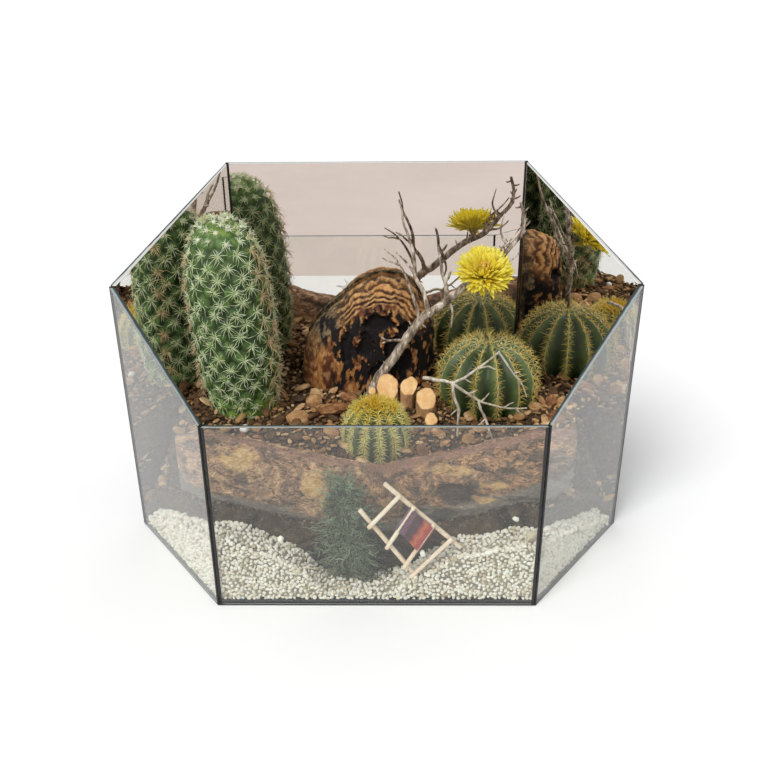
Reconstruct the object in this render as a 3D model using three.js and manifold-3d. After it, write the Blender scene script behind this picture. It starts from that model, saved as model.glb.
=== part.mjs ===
// A desert terrarium: a six-sided glass tank, open at the top, with cacti between wood and gravel.
// Millimetres, X to the right, Y to the back, Z up; the floor is at z = 0 and the tank is centred on x and y.
import * as THREE from "three";
import Module from "manifold-3d";

const wasm = await Module();
wasm.setup();
const { CrossSection, Manifold, Mesh } = wasm;

// The tank
const frontWidth = 200; // the front pane and the back mirror are equally wide
const sideHalfWidth = 166; // the side corners stand this far out
const halfDepth = 83.7; // from the middle to the front pane and to the back mirror
const sideCornerY = 5.5;
const frontHeight = 130.2;
const sideHeight = 180.8;
const backHeight = 238;
const glassThickness = 3;
const baseThickness = 3;
const clearance = 0.3; // between pieces that touch
const seamReach = 0.7; // how far the black sealant runs along each pane from a corner

// The planting
const tallCactus = { x: -96.5, y: 37.3, soil: 76, top: 214.5, radius: 27, lean: -0.06 };
const barrelCactus = { x: 77, y: 44.5, soil: 74, top: 123, radius: 33 };
const smallCactus = { x: -0.6, y: 3.7, soil: 61, top: 96, radius: 21 };
const flowerCentre = [70.5, 36.5, 176];
const flowerRadius = 19;
const logMiddleTop = 78; // the log sags to this height in the middle
const logRise = 0.28; // and rises this much per millimetre to each side
const logMiddle = (x) => logMiddleTop - 27 + logRise * Math.sqrt(x * x + 60);

const part = new THREE.Group();
part.name = "terrarium";

const finishes = {
  clearGlass: { color: 0xdfe9e4, roughness: 0.02, metalness: 0, transparent: true, opacity: 0.25 },
  mirror: { color: 0xd9d9d6, roughness: 0.03, metalness: 1 },
  sealant: { color: 0x1b1b1a, roughness: 0.55 },
  whiteGravel: { color: 0xcfc9b8, roughness: 0.9 },
  soil: { color: 0x5f4430, roughness: 1 },
  bark: { color: 0x8d6a4c, roughness: 0.95 },
  stumpWood: { color: 0x7b4a25, roughness: 0.9 },
  cactusGreen: { color: 0x4c6a35, roughness: 0.6 },
  barrelGreen: { color: 0x3f5a30, roughness: 0.6 },
  smallGreen: { color: 0x8f9a45, roughness: 0.7 },
  petal: { color: 0xf2de1e, roughness: 0.6 },
  driftwood: { color: 0x6e6255, roughness: 0.9 },
  paleTwig: { color: 0xb3a48e, roughness: 0.9 },
  cutWood: { color: 0xd9a765, roughness: 0.8 },
  stone: { color: 0xb79a72, roughness: 0.85 },
  whiteStone: { color: 0xe6e2d8, roughness: 0.8 },
  moss: { color: 0x46563a, roughness: 0.9 },
  ladderWood: { color: 0xe0c79c, roughness: 0.7 },
  cloth: { color: 0xa23a4a, roughness: 1 },
};

function add(name, solid, finish) {
  const made = solid.simplify(0.06).getMesh();
  const count = made.numProp;
  const positions = new Float32Array(made.numVert * 3);
  for (let i = 0; i < made.numVert; i++) {
    positions.set(made.vertProperties.subarray(i * count, i * count + 3), i * 3);
  }
  const geometry = new THREE.BufferGeometry();
  geometry.setAttribute("position", new THREE.BufferAttribute(positions, 3));
  geometry.setIndex(new THREE.BufferAttribute(made.triVerts, 1));
  geometry.computeVertexNormals();
  const mesh = new THREE.Mesh(geometry, new THREE.MeshStandardMaterial(finishes[finish]));
  mesh.name = name;
  part.add(mesh);
}

// Seeded random numbers, so that every build gives the same plants.
function randomFrom(seed) {
  let state = seed;
  return (low = 0, high = 1) => {
    state = (state * 1664525 + 1013904223) % 4294967296;
    return low + ((high - low) * state) / 4294967296;
  };
}

const plus = (a, b, scale = 1) => a.map((value, i) => value + b[i] * scale);
const minus = (a, b) => a.map((value, i) => value - b[i]);
const unit = (a) => plus([0, 0, 0], a, 1 / Math.hypot(...a));
const cross = (a, b) => [
  a[1] * b[2] - a[2] * b[1],
  a[2] * b[0] - a[0] * b[2],
  a[0] * b[1] - a[1] * b[0],
];
const dot = (a, b) => a[0] * b[0] + a[1] * b[1] + a[2] * b[2];
const mix = (a, b, t) => a + (b - a) * t;

// The value at x on a line through the given [x, value] points.
function along(points, x) {
  if (x <= points[0][0]) return points[0][1];
  for (let i = 1; i < points.length; i++) {
    if (x <= points[i][0]) {
      const t = (x - points[i - 1][0]) / (points[i][0] - points[i - 1][0]);
      return mix(points[i - 1][1], points[i][1], t);
    }
  }
  return points[points.length - 1][1];
}

// A closed solid through rings of equally many points, closed at each end by a middle point.
function loft(rings, startPoint, endPoint) {
  const sides = rings[0].length;
  const points = [startPoint, ...rings.flat(), endPoint];
  const last = points.length - 1;
  const at = (ring, i) => 1 + ring * sides + (i % sides);
  const faces = [];
  for (let i = 0; i < sides; i++) {
    faces.push([0, at(0, i + 1), at(0, i)]);
    faces.push([last, at(rings.length - 1, i), at(rings.length - 1, i + 1)]);
    for (let ring = 0; ring < rings.length - 1; ring++) {
      faces.push([at(ring, i), at(ring, i + 1), at(ring + 1, i + 1)]);
      faces.push([at(ring, i), at(ring + 1, i + 1), at(ring + 1, i)]);
    }
  }
  return solidOf(points, faces);
}

function solidOf(points, faces) {
  let volume = 0;
  for (const [a, b, c] of faces) volume += dot(points[a], cross(points[b], points[c]));
  const turned = volume < 0 ? faces.map(([a, b, c]) => [a, c, b]) : faces;
  return new Manifold(
    new Mesh({
      numProp: 3,
      vertProperties: new Float32Array(points.flat()),
      triVerts: new Uint32Array(turned.flat()),
    }),
  );
}

const middleOf = (ring) =>
  ring.reduce((sum, point) => plus(sum, point, 1 / ring.length), [0, 0, 0]);

// A tapering rod through the points; radii holds the radius at the first and last point.
function rod(points, radii, sides = 6, bumps = 0, random = null) {
  let across = null;
  const rings = points.map((point, k) => {
    const before = points[Math.max(k - 1, 0)];
    const after = points[Math.min(k + 1, points.length - 1)];
    const forward = unit(minus(after, before));
    if (!across) across = Math.abs(forward[2]) > 0.9 ? [1, 0, 0] : [0, 0, 1];
    across = unit(minus(across, plus([0, 0, 0], forward, dot(across, forward))));
    const other = cross(forward, across);
    const radius = mix(radii[0], radii[1], k / (points.length - 1));
    return Array.from({ length: sides }, (_, i) => {
      const angle = (2 * Math.PI * i) / sides;
      const reach = radius * (1 + (random ? random(-bumps, bumps) : 0));
      return plus(plus(point, across, Math.cos(angle) * reach), other, Math.sin(angle) * reach);
    });
  });
  return loft(rings, points[0], points[points.length - 1]);
}

// A spine: a thin three-sided pyramid whose root is sunk in the plant.
function spine(root, tip, width) {
  const forward = unit(minus(tip, root));
  const across = unit(cross(forward, Math.abs(forward[2]) > 0.9 ? [1, 0, 0] : [0, 0, 1]));
  const other = cross(forward, across);
  const corner = (angle) =>
    plus(plus(root, across, Math.cos(angle) * width), other, Math.sin(angle) * width);
  const points = [corner(0), corner(2.1), corner(4.2), tip];
  return solidOf(points, [[0, 2, 1], [0, 1, 3], [1, 2, 3], [2, 0, 3]]);
}

// The prism over a plan outline given as [x, y] points, from one height to another.
function prism(outline, bottom, top) {
  const low = outline.map(([x, y]) => [x, y, bottom]);
  const high = outline.map(([x, y]) => [x, y, top]);
  return loft([low, high], middleOf(low), middleOf(high));
}

// The tank's plan
const corners = [
  { x: -frontWidth / 2, y: -halfDepth, height: frontHeight },
  { x: frontWidth / 2, y: -halfDepth, height: frontHeight },
  { x: sideHalfWidth, y: sideCornerY, height: sideHeight },
  { x: frontWidth / 2, y: halfDepth, height: backHeight },
  { x: -frontWidth / 2, y: halfDepth, height: backHeight },
  { x: -sideHalfWidth, y: sideCornerY, height: sideHeight },
];

// The plan's corners, with every side moved inward by the inset.
function plan(inset) {
  return corners.map((corner, i) => {
    const before = corners[(i + 5) % 6];
    const after = corners[(i + 1) % 6];
    const inwards = (a, b) => {
      const length = Math.hypot(b.x - a.x, b.y - a.y);
      return [-(b.y - a.y) / length, (b.x - a.x) / length];
    };
    const [ax, ay] = inwards(before, corner);
    const [bx, by] = inwards(corner, after);
    const spread = 1 + ax * bx + ay * by;
    return [corner.x + (inset * (ax + bx)) / spread, corner.y + (inset * (ay + by)) / spread];
  });
}

const outerPlan = plan(-glassThickness / 2);
const innerPlan = plan(glassThickness / 2);
const fillPlan = plan(glassThickness / 2 + clearance);

const paneNames = [
  ["front_pane", "clearGlass"],
  ["front_right_pane", "clearGlass"],
  ["rear_right_mirror", "mirror"],
  ["back_mirror", "mirror"],
  ["rear_left_mirror", "mirror"],
  ["front_left_pane", "clearGlass"],
];

paneNames.forEach(([name, finish], i) => {
  const j = (i + 1) % 6;
  const length = Math.hypot(corners[j].x - corners[i].x, corners[j].y - corners[i].y);
  const cut = (seamReach + clearance) / length;
  const atEnd = (t) => {
    const outer = outerPlan[i].map((value, k) => mix(value, outerPlan[j][k], t));
    const inner = innerPlan[i].map((value, k) => mix(value, innerPlan[j][k], t));
    const height = mix(corners[i].height, corners[j].height, t);
    return [[...outer, 0], [...outer, height], [...inner, height], [...inner, 0]];
  };
  const start = atEnd(cut);
  const end = atEnd(1 - cut);
  add(name, loft([start, end], middleOf(start), middleOf(end)), finish);
});

// Black sealant up each corner, between the ends of the two panes.
const seamNames = ["front_left", "front_right", "side_right", "back_right", "back_left", "side_left"];
seamNames.forEach((name, i) => {
  const before = (i + 5) % 6;
  const after = (i + 1) % 6;
  const reach = (points, other) => {
    const length = Math.hypot(
      corners[other].x - corners[i].x,
      corners[other].y - corners[i].y,
    );
    return points[i].map((value, k) => mix(value, points[other][k], seamReach / length));
  };
  const outline = [
    outerPlan[i],
    reach(outerPlan, after),
    reach(innerPlan, after),
    innerPlan[i],
    reach(innerPlan, before),
    reach(outerPlan, before),
  ];
  add("corner_seam_" + name, prism(outline, 0, corners[i].height), "sealant");
});

// The base plate lies inside the panes, with a bead of sealant along each edge.
const beadPlan = plan(glassThickness / 2 + clearance + 2.6);
const platePlan = plan(glassThickness / 2 + 2 * clearance + 2.6);
const edgeNames = ["front", "front_right", "rear_right", "back", "rear_left", "front_left"];
edgeNames.forEach((name, i) => {
  const j = (i + 1) % 6;
  const length = Math.hypot(corners[j].x - corners[i].x, corners[j].y - corners[i].y);
  const near = 0.25 / length;
  const between = (points, t) => points[i].map((value, k) => mix(value, points[j][k], t));
  const outline = [
    between(fillPlan, near),
    between(fillPlan, 1 - near),
    between(beadPlan, 1 - near),
    between(beadPlan, near),
  ];
  add("base_seam_" + name, prism(outline, 0, baseThickness), "sealant");
});
add("base_pane", prism(platePlan, 0, baseThickness), "clearGlass");

// The log across the front: thick, sagging in the middle, with ridged bark.
function logSolid(grow) {
  const rings = [];
  const steps = 21;
  for (let k = 0; k <= steps; k++) {
    const x = mix(-122, 122, k / steps);
    const taper = 1 - 0.25 * Math.max(0, (Math.abs(x) - 100) / 22);
    const ring = [];
    for (let i = 0; i < 12; i++) {
      const angle = (2 * Math.PI * i) / 12;
      const ridges = 1.3 * Math.sin(5 * angle + x * 0.05) + Math.sin(3 * angle - x * 0.16);
      const bark = ridges + 0.8 * Math.sin(x * 0.33);
      const ridge = Math.sin(angle) > 0.9 ? 0.6 : bark;
      const up = (27 * taper + ridge + grow) * Math.sin(angle);
      const out = (15.5 * taper + ridge + grow) * Math.cos(angle);
      ring.push([x, -46 + out, logMiddle(x) + up]);
    }
    rings.push(ring);
  }
  const ends = [rings[0], rings[rings.length - 1]].map(middleOf);
  return loft(rings, ends[0], ends[1]);
}
const log = logSolid(0).intersect(prism(plan(glassThickness / 2 + 2 * clearance), 5, 200));

// The stump behind: a rounded, ridged arch with burnt hollows in its face.
const stumpOutline = [
  [-58, 81], [-57.5, 91], [-56, 100], [-51.5, 114], [-45, 126.5], [-34, 136.5], [-25, 144], [-16, 153],
  [-4, 158.5], [5.5, 160], [16, 158.5], [24, 153.5], [31, 145.5], [38, 136.5], [41, 124], [41, 104],
  [39, 80], [20, 76], [0, 75], [-20, 75], [-40, 76],
];
function stumpSolid(grow) {
  const depths = [[48, 0.46], [49.5, 0.64], [53, 0.77], [58.5, 0.87], [65, 0.93], [72, 0.97], [79.5, 1]];
  const rings = depths.map(([y, size], k) =>
    stumpOutline.map(([x, z], i) => {
      const ridge = z > 90 && (i + k) % 2 === 0 ? 0.975 : 1;
      const reach = size * ridge + grow / 45;
      return [-4 + (x + 4) * reach, y, 112 + (z - 112) * (z < 90 ? Math.max(size, 0.9) : reach)];
    }),
  );
  return loft(rings, middleOf(rings[0]), middleOf(rings[rings.length - 1]));
}
function hollow(x, y, z, width, depth, height) {
  return Manifold.sphere(1, 10).scale([width, depth, height]).translate([x, y, z]);
}
const stump = stumpSolid(0)
  .subtract(hollow(5, 49, 138, 8, 7, 9))
  .subtract(hollow(21, 49, 134, 7, 7, 7))
  .subtract(hollow(-8, 47, 114, 6, 5, 14))
  .subtract(hollow(11, 47, 112, 5, 5, 12));

// Heights of the ground
const gravelLine = [
  [-160, 8], [-130, 30], [-103, 49], [-87, 47.5], [-67, 37.5], [-48.5, 27], [-40, 17], [-33, 9],
  [4, 8.5], [14, 11], [24, 17.5], [35, 26], [52.7, 36.5], [67, 39], [91, 44.5], [103, 43],
  [130, 28], [160, 8],
];
const gravelHeight = (x) => along(gravelLine, x);

function soilHeight(x, y) {
  const side = Math.min(1, Math.abs(x) / 75);
  const middle = along([[-46, 57], [-25, 60], [0, 70], [20, 79], [80, 86]], y);
  const edge = along([[-46, 70], [-25, 75], [0, 80], [20, 82], [80, 86]], y);
  const fromSidePane = 0.595 * (y + halfDepth) - 0.804 * (Math.abs(x) - frontWidth / 2);
  const bank = gravelHeight(x) + 12 + 1.5 * Math.max(0, fromSidePane - 11);
  const underLog = y < -45 ? logMiddle(x) - 15 : 200;
  return Math.min(mix(middle, edge, side), bank, underLog);
}

const aboveSoil = ([x, y, z]) => z > soilHeight(x, y) + 2.5;

// A cactus body: rings round an upright axis. The relief gives the ribs or the warts.
function cactusBody(cactus, sides, rows, profile, relief, bottom) {
  const rings = [];
  for (let row = 0; row < rows; row++) {
    const t = row / (rows - 1);
    const { radius, z } = profile(t, bottom);
    const middleX = cactus.x + (cactus.lean ?? 0) * (z - 140);
    rings.push(
      Array.from({ length: sides }, (_, i) => {
        const angle = (2 * Math.PI * i) / sides;
        const reach = radius + relief(angle, row, t);
        return [middleX + Math.cos(angle) * reach, cactus.y + Math.sin(angle) * reach, z];
      }),
    );
  }
  return loft(rings, middleOf(rings[0]), plus(middleOf(rings[rows - 1]), [0, 0, 0.8]));
}

// The tall cactus: a column with rounded shoulders, covered in warts that stand in spirals.
const wartColumns = 13;
const wartRows = 13;
const columnProfile = (cactus) => (t) => {
  const bottom = cactus.soil - 9;
  const z = mix(bottom, cactus.top, 1 - (1 - t) ** 1.15);
  const fromTop = Math.min(1, (cactus.top - z) / 77);
  const shoulder = Math.sqrt(Math.max(0.02, 1 - (1 - fromTop) ** 3.46));
  const waist = 1 - 0.24 * Math.max(0, 1 - (z - bottom) / 50);
  return { radius: cactus.radius * shoulder * waist, z };
};
const tallProfile = columnProfile(tallCactus);
const tallBody = cactusBody(tallCactus, wartColumns * 2, 19, tallProfile, (angle, row, t) => {
  const column = Math.round((angle / (2 * Math.PI)) * wartColumns * 2);
  if (row % 2 === 0 || t > 0.97) return -0.7;
  return (column + (row - 1) / 2) % 2 === 0 ? 1.5 : -0.9;
});
function tallSpines() {
  const random = randomFrom(7);
  const made = [];
  for (let row = 0; row < wartRows; row++) {
    const t = mix(0.13, 0.985, row / (wartRows - 1));
    const { radius, z } = tallProfile(t);
    const above = tallProfile(Math.min(1, t + 0.02));
    const slope = Math.atan2(radius - above.radius, above.z - z);
    const columns = Math.max(5, Math.round((wartColumns - 3) * Math.min(1, radius / 24)));
    for (let column = 0; column < columns; column++) {
      const angle = (2 * Math.PI * (column + (row % 2) / 2)) / columns;
      const out = [
        Math.cos(angle) * Math.cos(slope),
        Math.sin(angle) * Math.cos(slope),
        Math.sin(slope),
      ];
      const root = [
        tallCactus.x + tallCactus.lean * (z - 140) + Math.cos(angle) * (radius - 1.8),
        tallCactus.y + Math.sin(angle) * (radius - 1.8),
        z,
      ];
      const side = [-Math.sin(angle), Math.cos(angle), 0];
      const up = cross(out, side);
      for (const turn of [random(0.2, 0.9), random(3.3, 4.1)]) {
        const lean = plus(plus(out, side, Math.cos(turn) * 0.9), up, Math.sin(turn) * 0.9);
        const tip = plus(root, unit(lean), random(7, 8.2));
        if (aboveSoil(root) && aboveSoil(tip)) made.push(spine(root, tip, 0.55));
      }
    }
  }
  return made;
}

// The barrel cactus: a ribbed ball with spines along the ribs and a woolly crown.
const barrelRibs = 13;
const ballProfile = (cactus, flatten) => (t) => {
  const bottom = cactus.soil - 8;
  const middle = (cactus.top + bottom) / 2 - flatten;
  const angle = mix(-1.05, 1.45, t);
  const up = angle > 0 ? cactus.top - middle : middle - bottom;
  const reach = angle > 0 ? Math.sin(angle) : Math.sin(angle) / Math.sin(1.05);
  return { radius: cactus.radius * Math.cos(angle) ** 0.8, z: middle + up * reach };
};
const barrelProfile = ballProfile(barrelCactus, -2);
const barrelBody = cactusBody(barrelCactus, barrelRibs * 2, 9, barrelProfile, (angle, row, t) => {
  const ridge = Math.round((angle / (2 * Math.PI)) * barrelRibs * 2) % 2 === 0;
  const depth = Math.min(1, (1 - t) * 4 + 0.15);
  return ridge ? 1.6 * depth : -2.4 * depth;
});
function ribSpines(cactus, profile, { ribs, rows, length, width, seed, start }) {
  const random = randomFrom(seed);
  const made = [];
  for (let rib = 0; rib < ribs; rib++) {
    const angle = (2 * Math.PI * rib) / ribs;
    for (let row = 0; row < rows; row++) {
      const t = mix(start, 0.97, row / (rows - 1));
      const { radius, z } = profile(t);
      const above = profile(Math.min(1, t + 0.03));
      const slope = Math.atan2(radius - above.radius, above.z - z);
      const reach = radius * 0.97;
      const root = [
        cactus.x + Math.cos(angle) * reach,
        cactus.y + Math.sin(angle) * reach,
        z - 0.3,
      ];
      for (const turn of [-1, 1]) {
        const heading = angle + turn * random(0.35, 0.8);
        const lift = slope + random(-0.5, 0.35);
        const level = Math.cos(lift);
        const lean = [Math.cos(heading) * level, Math.sin(heading) * level, Math.sin(lift)];
        const tip = plus(root, lean, length * random(0.85, 1.1));
        if (aboveSoil(root) && aboveSoil(tip)) made.push(spine(root, tip, width));
      }
    }
  }
  return made;
}

// The small cactus: a low, densely spined ball.
const smallRibs = 13;
const smallProfile = ballProfile(smallCactus, -1);
const smallBody = cactusBody(smallCactus, smallRibs * 2, 7, smallProfile, (angle, row, t) => {
  const ridge = Math.round((angle / (2 * Math.PI)) * smallRibs * 2) % 2 === 0;
  return (ridge ? 0.8 : -1.2) * Math.min(1, (1 - t) * 4 + 0.15);
});

// The flower: narrow petals in four whorls, each steeper than the one outside it, on a small cup.
function flowerSolid() {
  const random = randomFrom(21);
  const facing = unit([-0.02, -0.51, 0.86]);
  const right = unit(cross(facing, [0, 0, 1]));
  const up = cross(right, facing);
  const place = (r, angle, height) =>
    plus(
      plus(plus(flowerCentre, right, Math.cos(angle) * r), up, Math.sin(angle) * r),
      facing,
      height,
    );
  const stalkFoot = [71.2, 45.3, 173.1]; // just off the branch
  const cup = [stalkFoot, place(0, 0, -4.6), place(0, 0, -2), place(0, 0, 1.5)];
  const pieces = [rod(cup, [1.3, 6.5], 7)];
  const whorls = [
    { count: 14, reach: 1.04, rise: 0.42, wide: 2 },
    { count: 12, reach: 1.08, rise: 0.7, wide: 1.9 },
    { count: 9, reach: 1.06, rise: 0.98, wide: 1.8 },
    { count: 6, reach: 0.98, rise: 1.24, wide: 1.6 },
  ];
  for (const { count, reach, rise, wide } of whorls) {
    for (let i = 0; i < count; i++) {
      const angle = (2 * Math.PI * (i + random(-0.25, 0.25))) / count;
      const length = flowerRadius * reach * random(0.9, 1.05);
      const tipRise = rise + random(-0.06, 0.06);
      const stations = [
        [2, -2, 0.8],
        [length * 0.58 * Math.cos(rise), length * 0.58 * Math.sin(rise), 1],
        [length * Math.cos(tipRise), length * Math.sin(tipRise), 0.25],
      ];
      const rings = stations.map(([r, height, width]) => {
        const turn = (wide * width) / Math.max(r, 2);
        return [
          place(r, angle - turn, height + 0.3),
          place(r, angle, height - 0.5),
          place(r, angle + turn, height + 0.3),
        ];
      });
      pieces.push(loft(rings, middleOf(rings[0]), middleOf(rings[2])));
    }
  }
  return Manifold.union(pieces);
}

// The dry branch: a bent stem with side twigs, rooted in the soil beside the stump.
const branchStem = [
  [-6, 42.6, 74], [-4, 42.6, 86], [1.8, 42.7, 99], [12, 43, 113.5], [19.5, 43.2, 126], [30.7, 44, 142],
  [41, 44.5, 149.5], [53, 45, 160], [65, 46.5, 169.5], [77, 49, 176], [86, 50, 187], [95.5, 51.5, 199],
  [96.5, 53, 209], [94, 54, 219],
];
const branchTwigs = [
  { from: 1.7, to: 0.5, points: [
    [33, 44, 144], [34, 45.5, 150], [26.2, 55, 167.3], [24.5, 64, 183], [18, 71, 200], [15, 75, 215],
  ] },
  { from: 0.9, to: 0.5, points: [[26, 56, 168], [20, 60, 176], [13, 63, 182]] },
  { from: 1.5, to: 0.8, points: [[46, 45, 152], [47, 52, 161.3], [44.1, 57, 169.7], [41.4, 64, 185]] },
  { from: 1, to: 0.8, points: [[46, 54, 164], [49.9, 58, 171]] },
  { from: 0.9, to: 0.6, points: [[78, 49, 177], [87, 50, 180], [94.5, 50, 186]] },
  { from: 0.9, to: 0.5, points: [[76, 49, 175.5], [81.5, 48.5, 189], [89.6, 49, 197], [94, 50, 203]] },
  { from: 1.1, to: 0.5, points: [[19, 43.5, 125], [9, 40.5, 127], [1.5, 38, 132]] },
  { from: 0.8, to: 0.5, points: [[10, 40.8, 127], [3, 39, 125.5]] },
  { from: 1, to: 0.5, points: [
    [29, 44, 139], [24, 47, 158], [17.7, 55, 172], [11, 60, 180.5], [5, 62, 185],
  ] },
  { from: 0.7, to: 0.5, points: [[15, 57, 175], [8, 60, 177], [3.5, 61, 179]] },
  { from: 0.9, to: 0.5, points: [[48, 44.5, 155], [51, 40, 146], [50, 37, 138]] },
  { from: 0.8, to: 0.5, points: [[88, 50, 189], [82, 53, 199], [84, 55, 211]] },
];
function branchSolid(grow) {
  const random = randomFrom(5);
  const stem = rod(branchStem, [4.1 + grow, 0.8 + grow], 6, grow ? 0 : 0.06, random);
  if (grow) return stem;
  const twigs = branchTwigs.map(({ from, to, points }) => rod(points, [from, to], 4));
  return Manifold.union([stem, ...twigs]);
}

// The pale twig that leans in front of the barrel cactus.
const twigArms = [
  { from: 1.4, to: 0.7, points: [
    [31, 12, 112.8], [40, 6, 114], [49.9, 2, 114.1], [57, 1, 118], [66.4, 0, 126.1], [79.5, 1, 137.5],
  ] },
  { from: 0.8, to: 0.6, points: [[79, 1, 136.5], [88.9, 0, 121.7], [98.8, 1, 104]] },
  { from: 1.2, to: 0.9, points: [[49.9, 2, 114], [54.2, 0, 96], [54, -1, 80], [52, -2, 62]] },
  { from: 1.2, to: 0.6, points: [
    [50.5, 2, 113.5], [60, 0, 107], [68.6, -1, 101.5], [84, -1, 97], [99.6, 1, 95.7],
  ] },
  { from: 1, to: 0.8, points: [[67, -1, 102], [72, -3, 90], [78, -6, 74], [79, -7, 62]] },
  { from: 0.8, to: 0.5, points: [[66.4, 0, 126], [72, -2, 128], [77, -3, 126]] },
];
const twigRods = (grow, sides) =>
  twigArms.map(({ from, to, points }) => rod(points, [from + grow, to + grow], sides));
const paleTwig = Manifold.union(twigRods(0, 4));

// Short lengths of cut wood, standing in the soil with their sawn faces tipped to the front.
const cutWood = [
  { x: 6.7, y: 30, z: 95.6, radius: 7.8, lean: 0 },
  { x: 21.3, y: 30.5, z: 96.2, radius: 6, lean: 1 },
  { x: 33.6, y: 22, z: 91, radius: 6.8, lean: 0 },
  { x: 36.4, y: 7, z: 83, radius: 4.2, lean: 0 },
  { x: -2.4, y: 23.8, z: 96, radius: 2.4, lean: -2.5 },
];
const sawnFacing = unit([0, -0.66, 0.75]);
function cutWoodSolid({ x, y, z, radius, lean }, grow) {
  const random = randomFrom(Math.round(x * 3 + 40));
  const points = [[x - 1, y + 5, z - 30], [x, y + 3, z - 12], [x + lean, y - 1, z + 12]];
  const stick = rod(points, [radius + grow, radius + grow], 10, 0.06, random);
  return stick.trimByPlane(plus([0, 0, 0], sawnFacing, -1), -dot(sawnFacing, [x, y, z]) - grow);
}

// Loose stones and bark chips that lie on the soil.
const stones = [
  { name: "tan_stone_1", x: -54, y: 15, z: 80.5, size: [9, 7, 5.5], turn: 0.4, finish: "stone" },
  { name: "tan_stone_2", x: -44, y: 33, z: 84, size: [7.5, 6, 5], turn: 1.3, finish: "stone" },
  { name: "tan_stone_3", x: -31, y: 8, z: 75, size: [7, 5.5, 4.5], turn: 2.2, finish: "stone" },
  { name: "bark_plate", x: -31, y: 25, z: 82.5, size: [12, 7, 2.4], turn: 0.35, finish: "bark" },
  { name: "white_pebble", x: -89, y: 0.5, z: 81, size: [3.2, 2.7, 2.5], turn: 0.2, finish: "whiteStone" },
  { name: "bark_chip_1", x: 121, y: 33, z: 84, size: [7, 4.2, 3], turn: 1.2, finish: "bark" },
  { name: "bark_chip_2", x: 119, y: 12, z: 82, size: [7.5, 4.8, 3], turn: 0.5, finish: "bark" },
  { name: "bark_chip_3", x: -20, y: 39, z: 83.5, size: [7, 4.5, 3], turn: 2.6, finish: "bark" },
];
function stoneSolid({ x, y, z, size, turn }, grow) {
  const random = randomFrom(Math.round(x * 7 + 2000));
  const rings = [];
  for (const level of [-0.75, -0.25, 0.3, 0.78]) {
    rings.push(
      Array.from({ length: 8 }, (_, i) => {
        const angle = (2 * Math.PI * i) / 8;
        const reach = Math.sqrt(1 - level * level) * random(0.86, 1.08);
        const sideX = Math.cos(angle) * (size[0] * reach + grow);
        const sideY = Math.sin(angle) * (size[1] * reach + grow);
        return [
          x + sideX * Math.cos(turn) - sideY * Math.sin(turn),
          y + sideX * Math.sin(turn) + sideY * Math.cos(turn),
          z + level * (size[2] + grow),
        ];
      }),
    );
  }
  return loft(rings, [x, y, z - size[2] - grow], [x, y, z + size[2] + grow]);
}

// The moss plant in front of the log: fine blades round a short dark stem.
function mossSolid() {
  const random = randomFrom(33);
  const stem = [[-16, -66.3, 10], [-15, -66.4, 30], [-13, -66.6, 52], [-12, -67, 72], [-13, -66.8, 88]];
  const pieces = [rod(stem, [5, 2.4], 8)];
  const blades = 92;
  for (let i = 0; i < blades; i++) {
    const t = (i + 0.5) / blades;
    const k = Math.min(3, Math.floor(t * 4));
    const root = plus(stem[k], minus(stem[k + 1], stem[k]), t * 4 - k);
    const angle = i * 2.4;
    const spread = along([[0, 22], [0.3, 25], [0.55, 19], [0.8, 16], [1, 13]], t) * random(0.75, 1.1);
    const rise = random(-4, 12);
    const out = [Math.cos(angle) * spread, Math.sin(angle) * Math.min(4.6, spread), rise];
    const tip = plus(root, out);
    tip[2] = Math.max(tip[2], gravelHeight(tip[0]) + 5);
    pieces.push(spine(root, tip, 1.1));
  }
  return Manifold.union(pieces);
}

// The little ladder: two rails, four rungs laid across their front, and a woven cloth.
const railRadius = 1.35;
const leftRail = [[-9.7, -74, 66.6], [24.3, -76.3, 19.4]];
const rightRail = [[5.5, -73.6, 85.4], [52.6, -76, 39.8]];
const rungPlaces = [[0.173, 0.198], [0.36, 0.51], [0.624, 0.822], [0.85, 0.969]];
const onRail = (rail, t) => rail[0].map((value, k) => mix(value, rail[1][k], t));
function rungEnds([rightT, leftT]) {
  const forward = [0, -(2 * railRadius + clearance), 0];
  const right = plus(onRail(rightRail, rightT), forward);
  const left = plus(onRail(leftRail, leftT), forward);
  const past = unit(minus(right, left));
  return [plus(left, past, -2.4), plus(right, past, 2.4)];
}
const rails = [leftRail, rightRail].map((rail) => rod(rail, [railRadius, railRadius], 8));
// The rails' places in the gravel
const grownRails = [leftRail, rightRail].map((rail) => {
  const run = minus(rail[1], rail[0]);
  const radius = railRadius + clearance + 0.1;
  return rod([plus(rail[0], run, -0.01), plus(rail[1], run, 0.012)], [radius, radius], 8);
});
const rungs = rungPlaces.map((place) => rod(rungEnds(place), [1.25, 1.25], 8));
function clothSolid() {
  const upper = rungEnds(rungPlaces[1]);
  const lower = rungEnds(rungPlaces[2]);
  const at = (ends, t) => ends[0].map((value, k) => mix(value, ends[1][k], t));
  const corner = (t, s) => {
    const a = at(upper, t);
    const b = at(lower, t);
    const gap = 1.25 + clearance;
    const step = unit(minus(b, a));
    const from = plus(a, step, gap);
    const to = plus(b, step, -gap);
    return from.map((value, k) => mix(value, to[k], s));
  };
  const front = [0, -0.5, 0];
  const rings = [0, 0.5, 1].map((s) => {
    const sag = [0, 0.6 * Math.sin(Math.PI * s), 0];
    const a = plus(corner(0.44, s), sag);
    const b = plus(corner(0.94, s), sag);
    return [plus(a, front), plus(b, front), plus(b, front, -1), plus(a, front, -1)];
  });
  return loft(rings, middleOf(rings[0]), middleOf(rings[2]));
}

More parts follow.
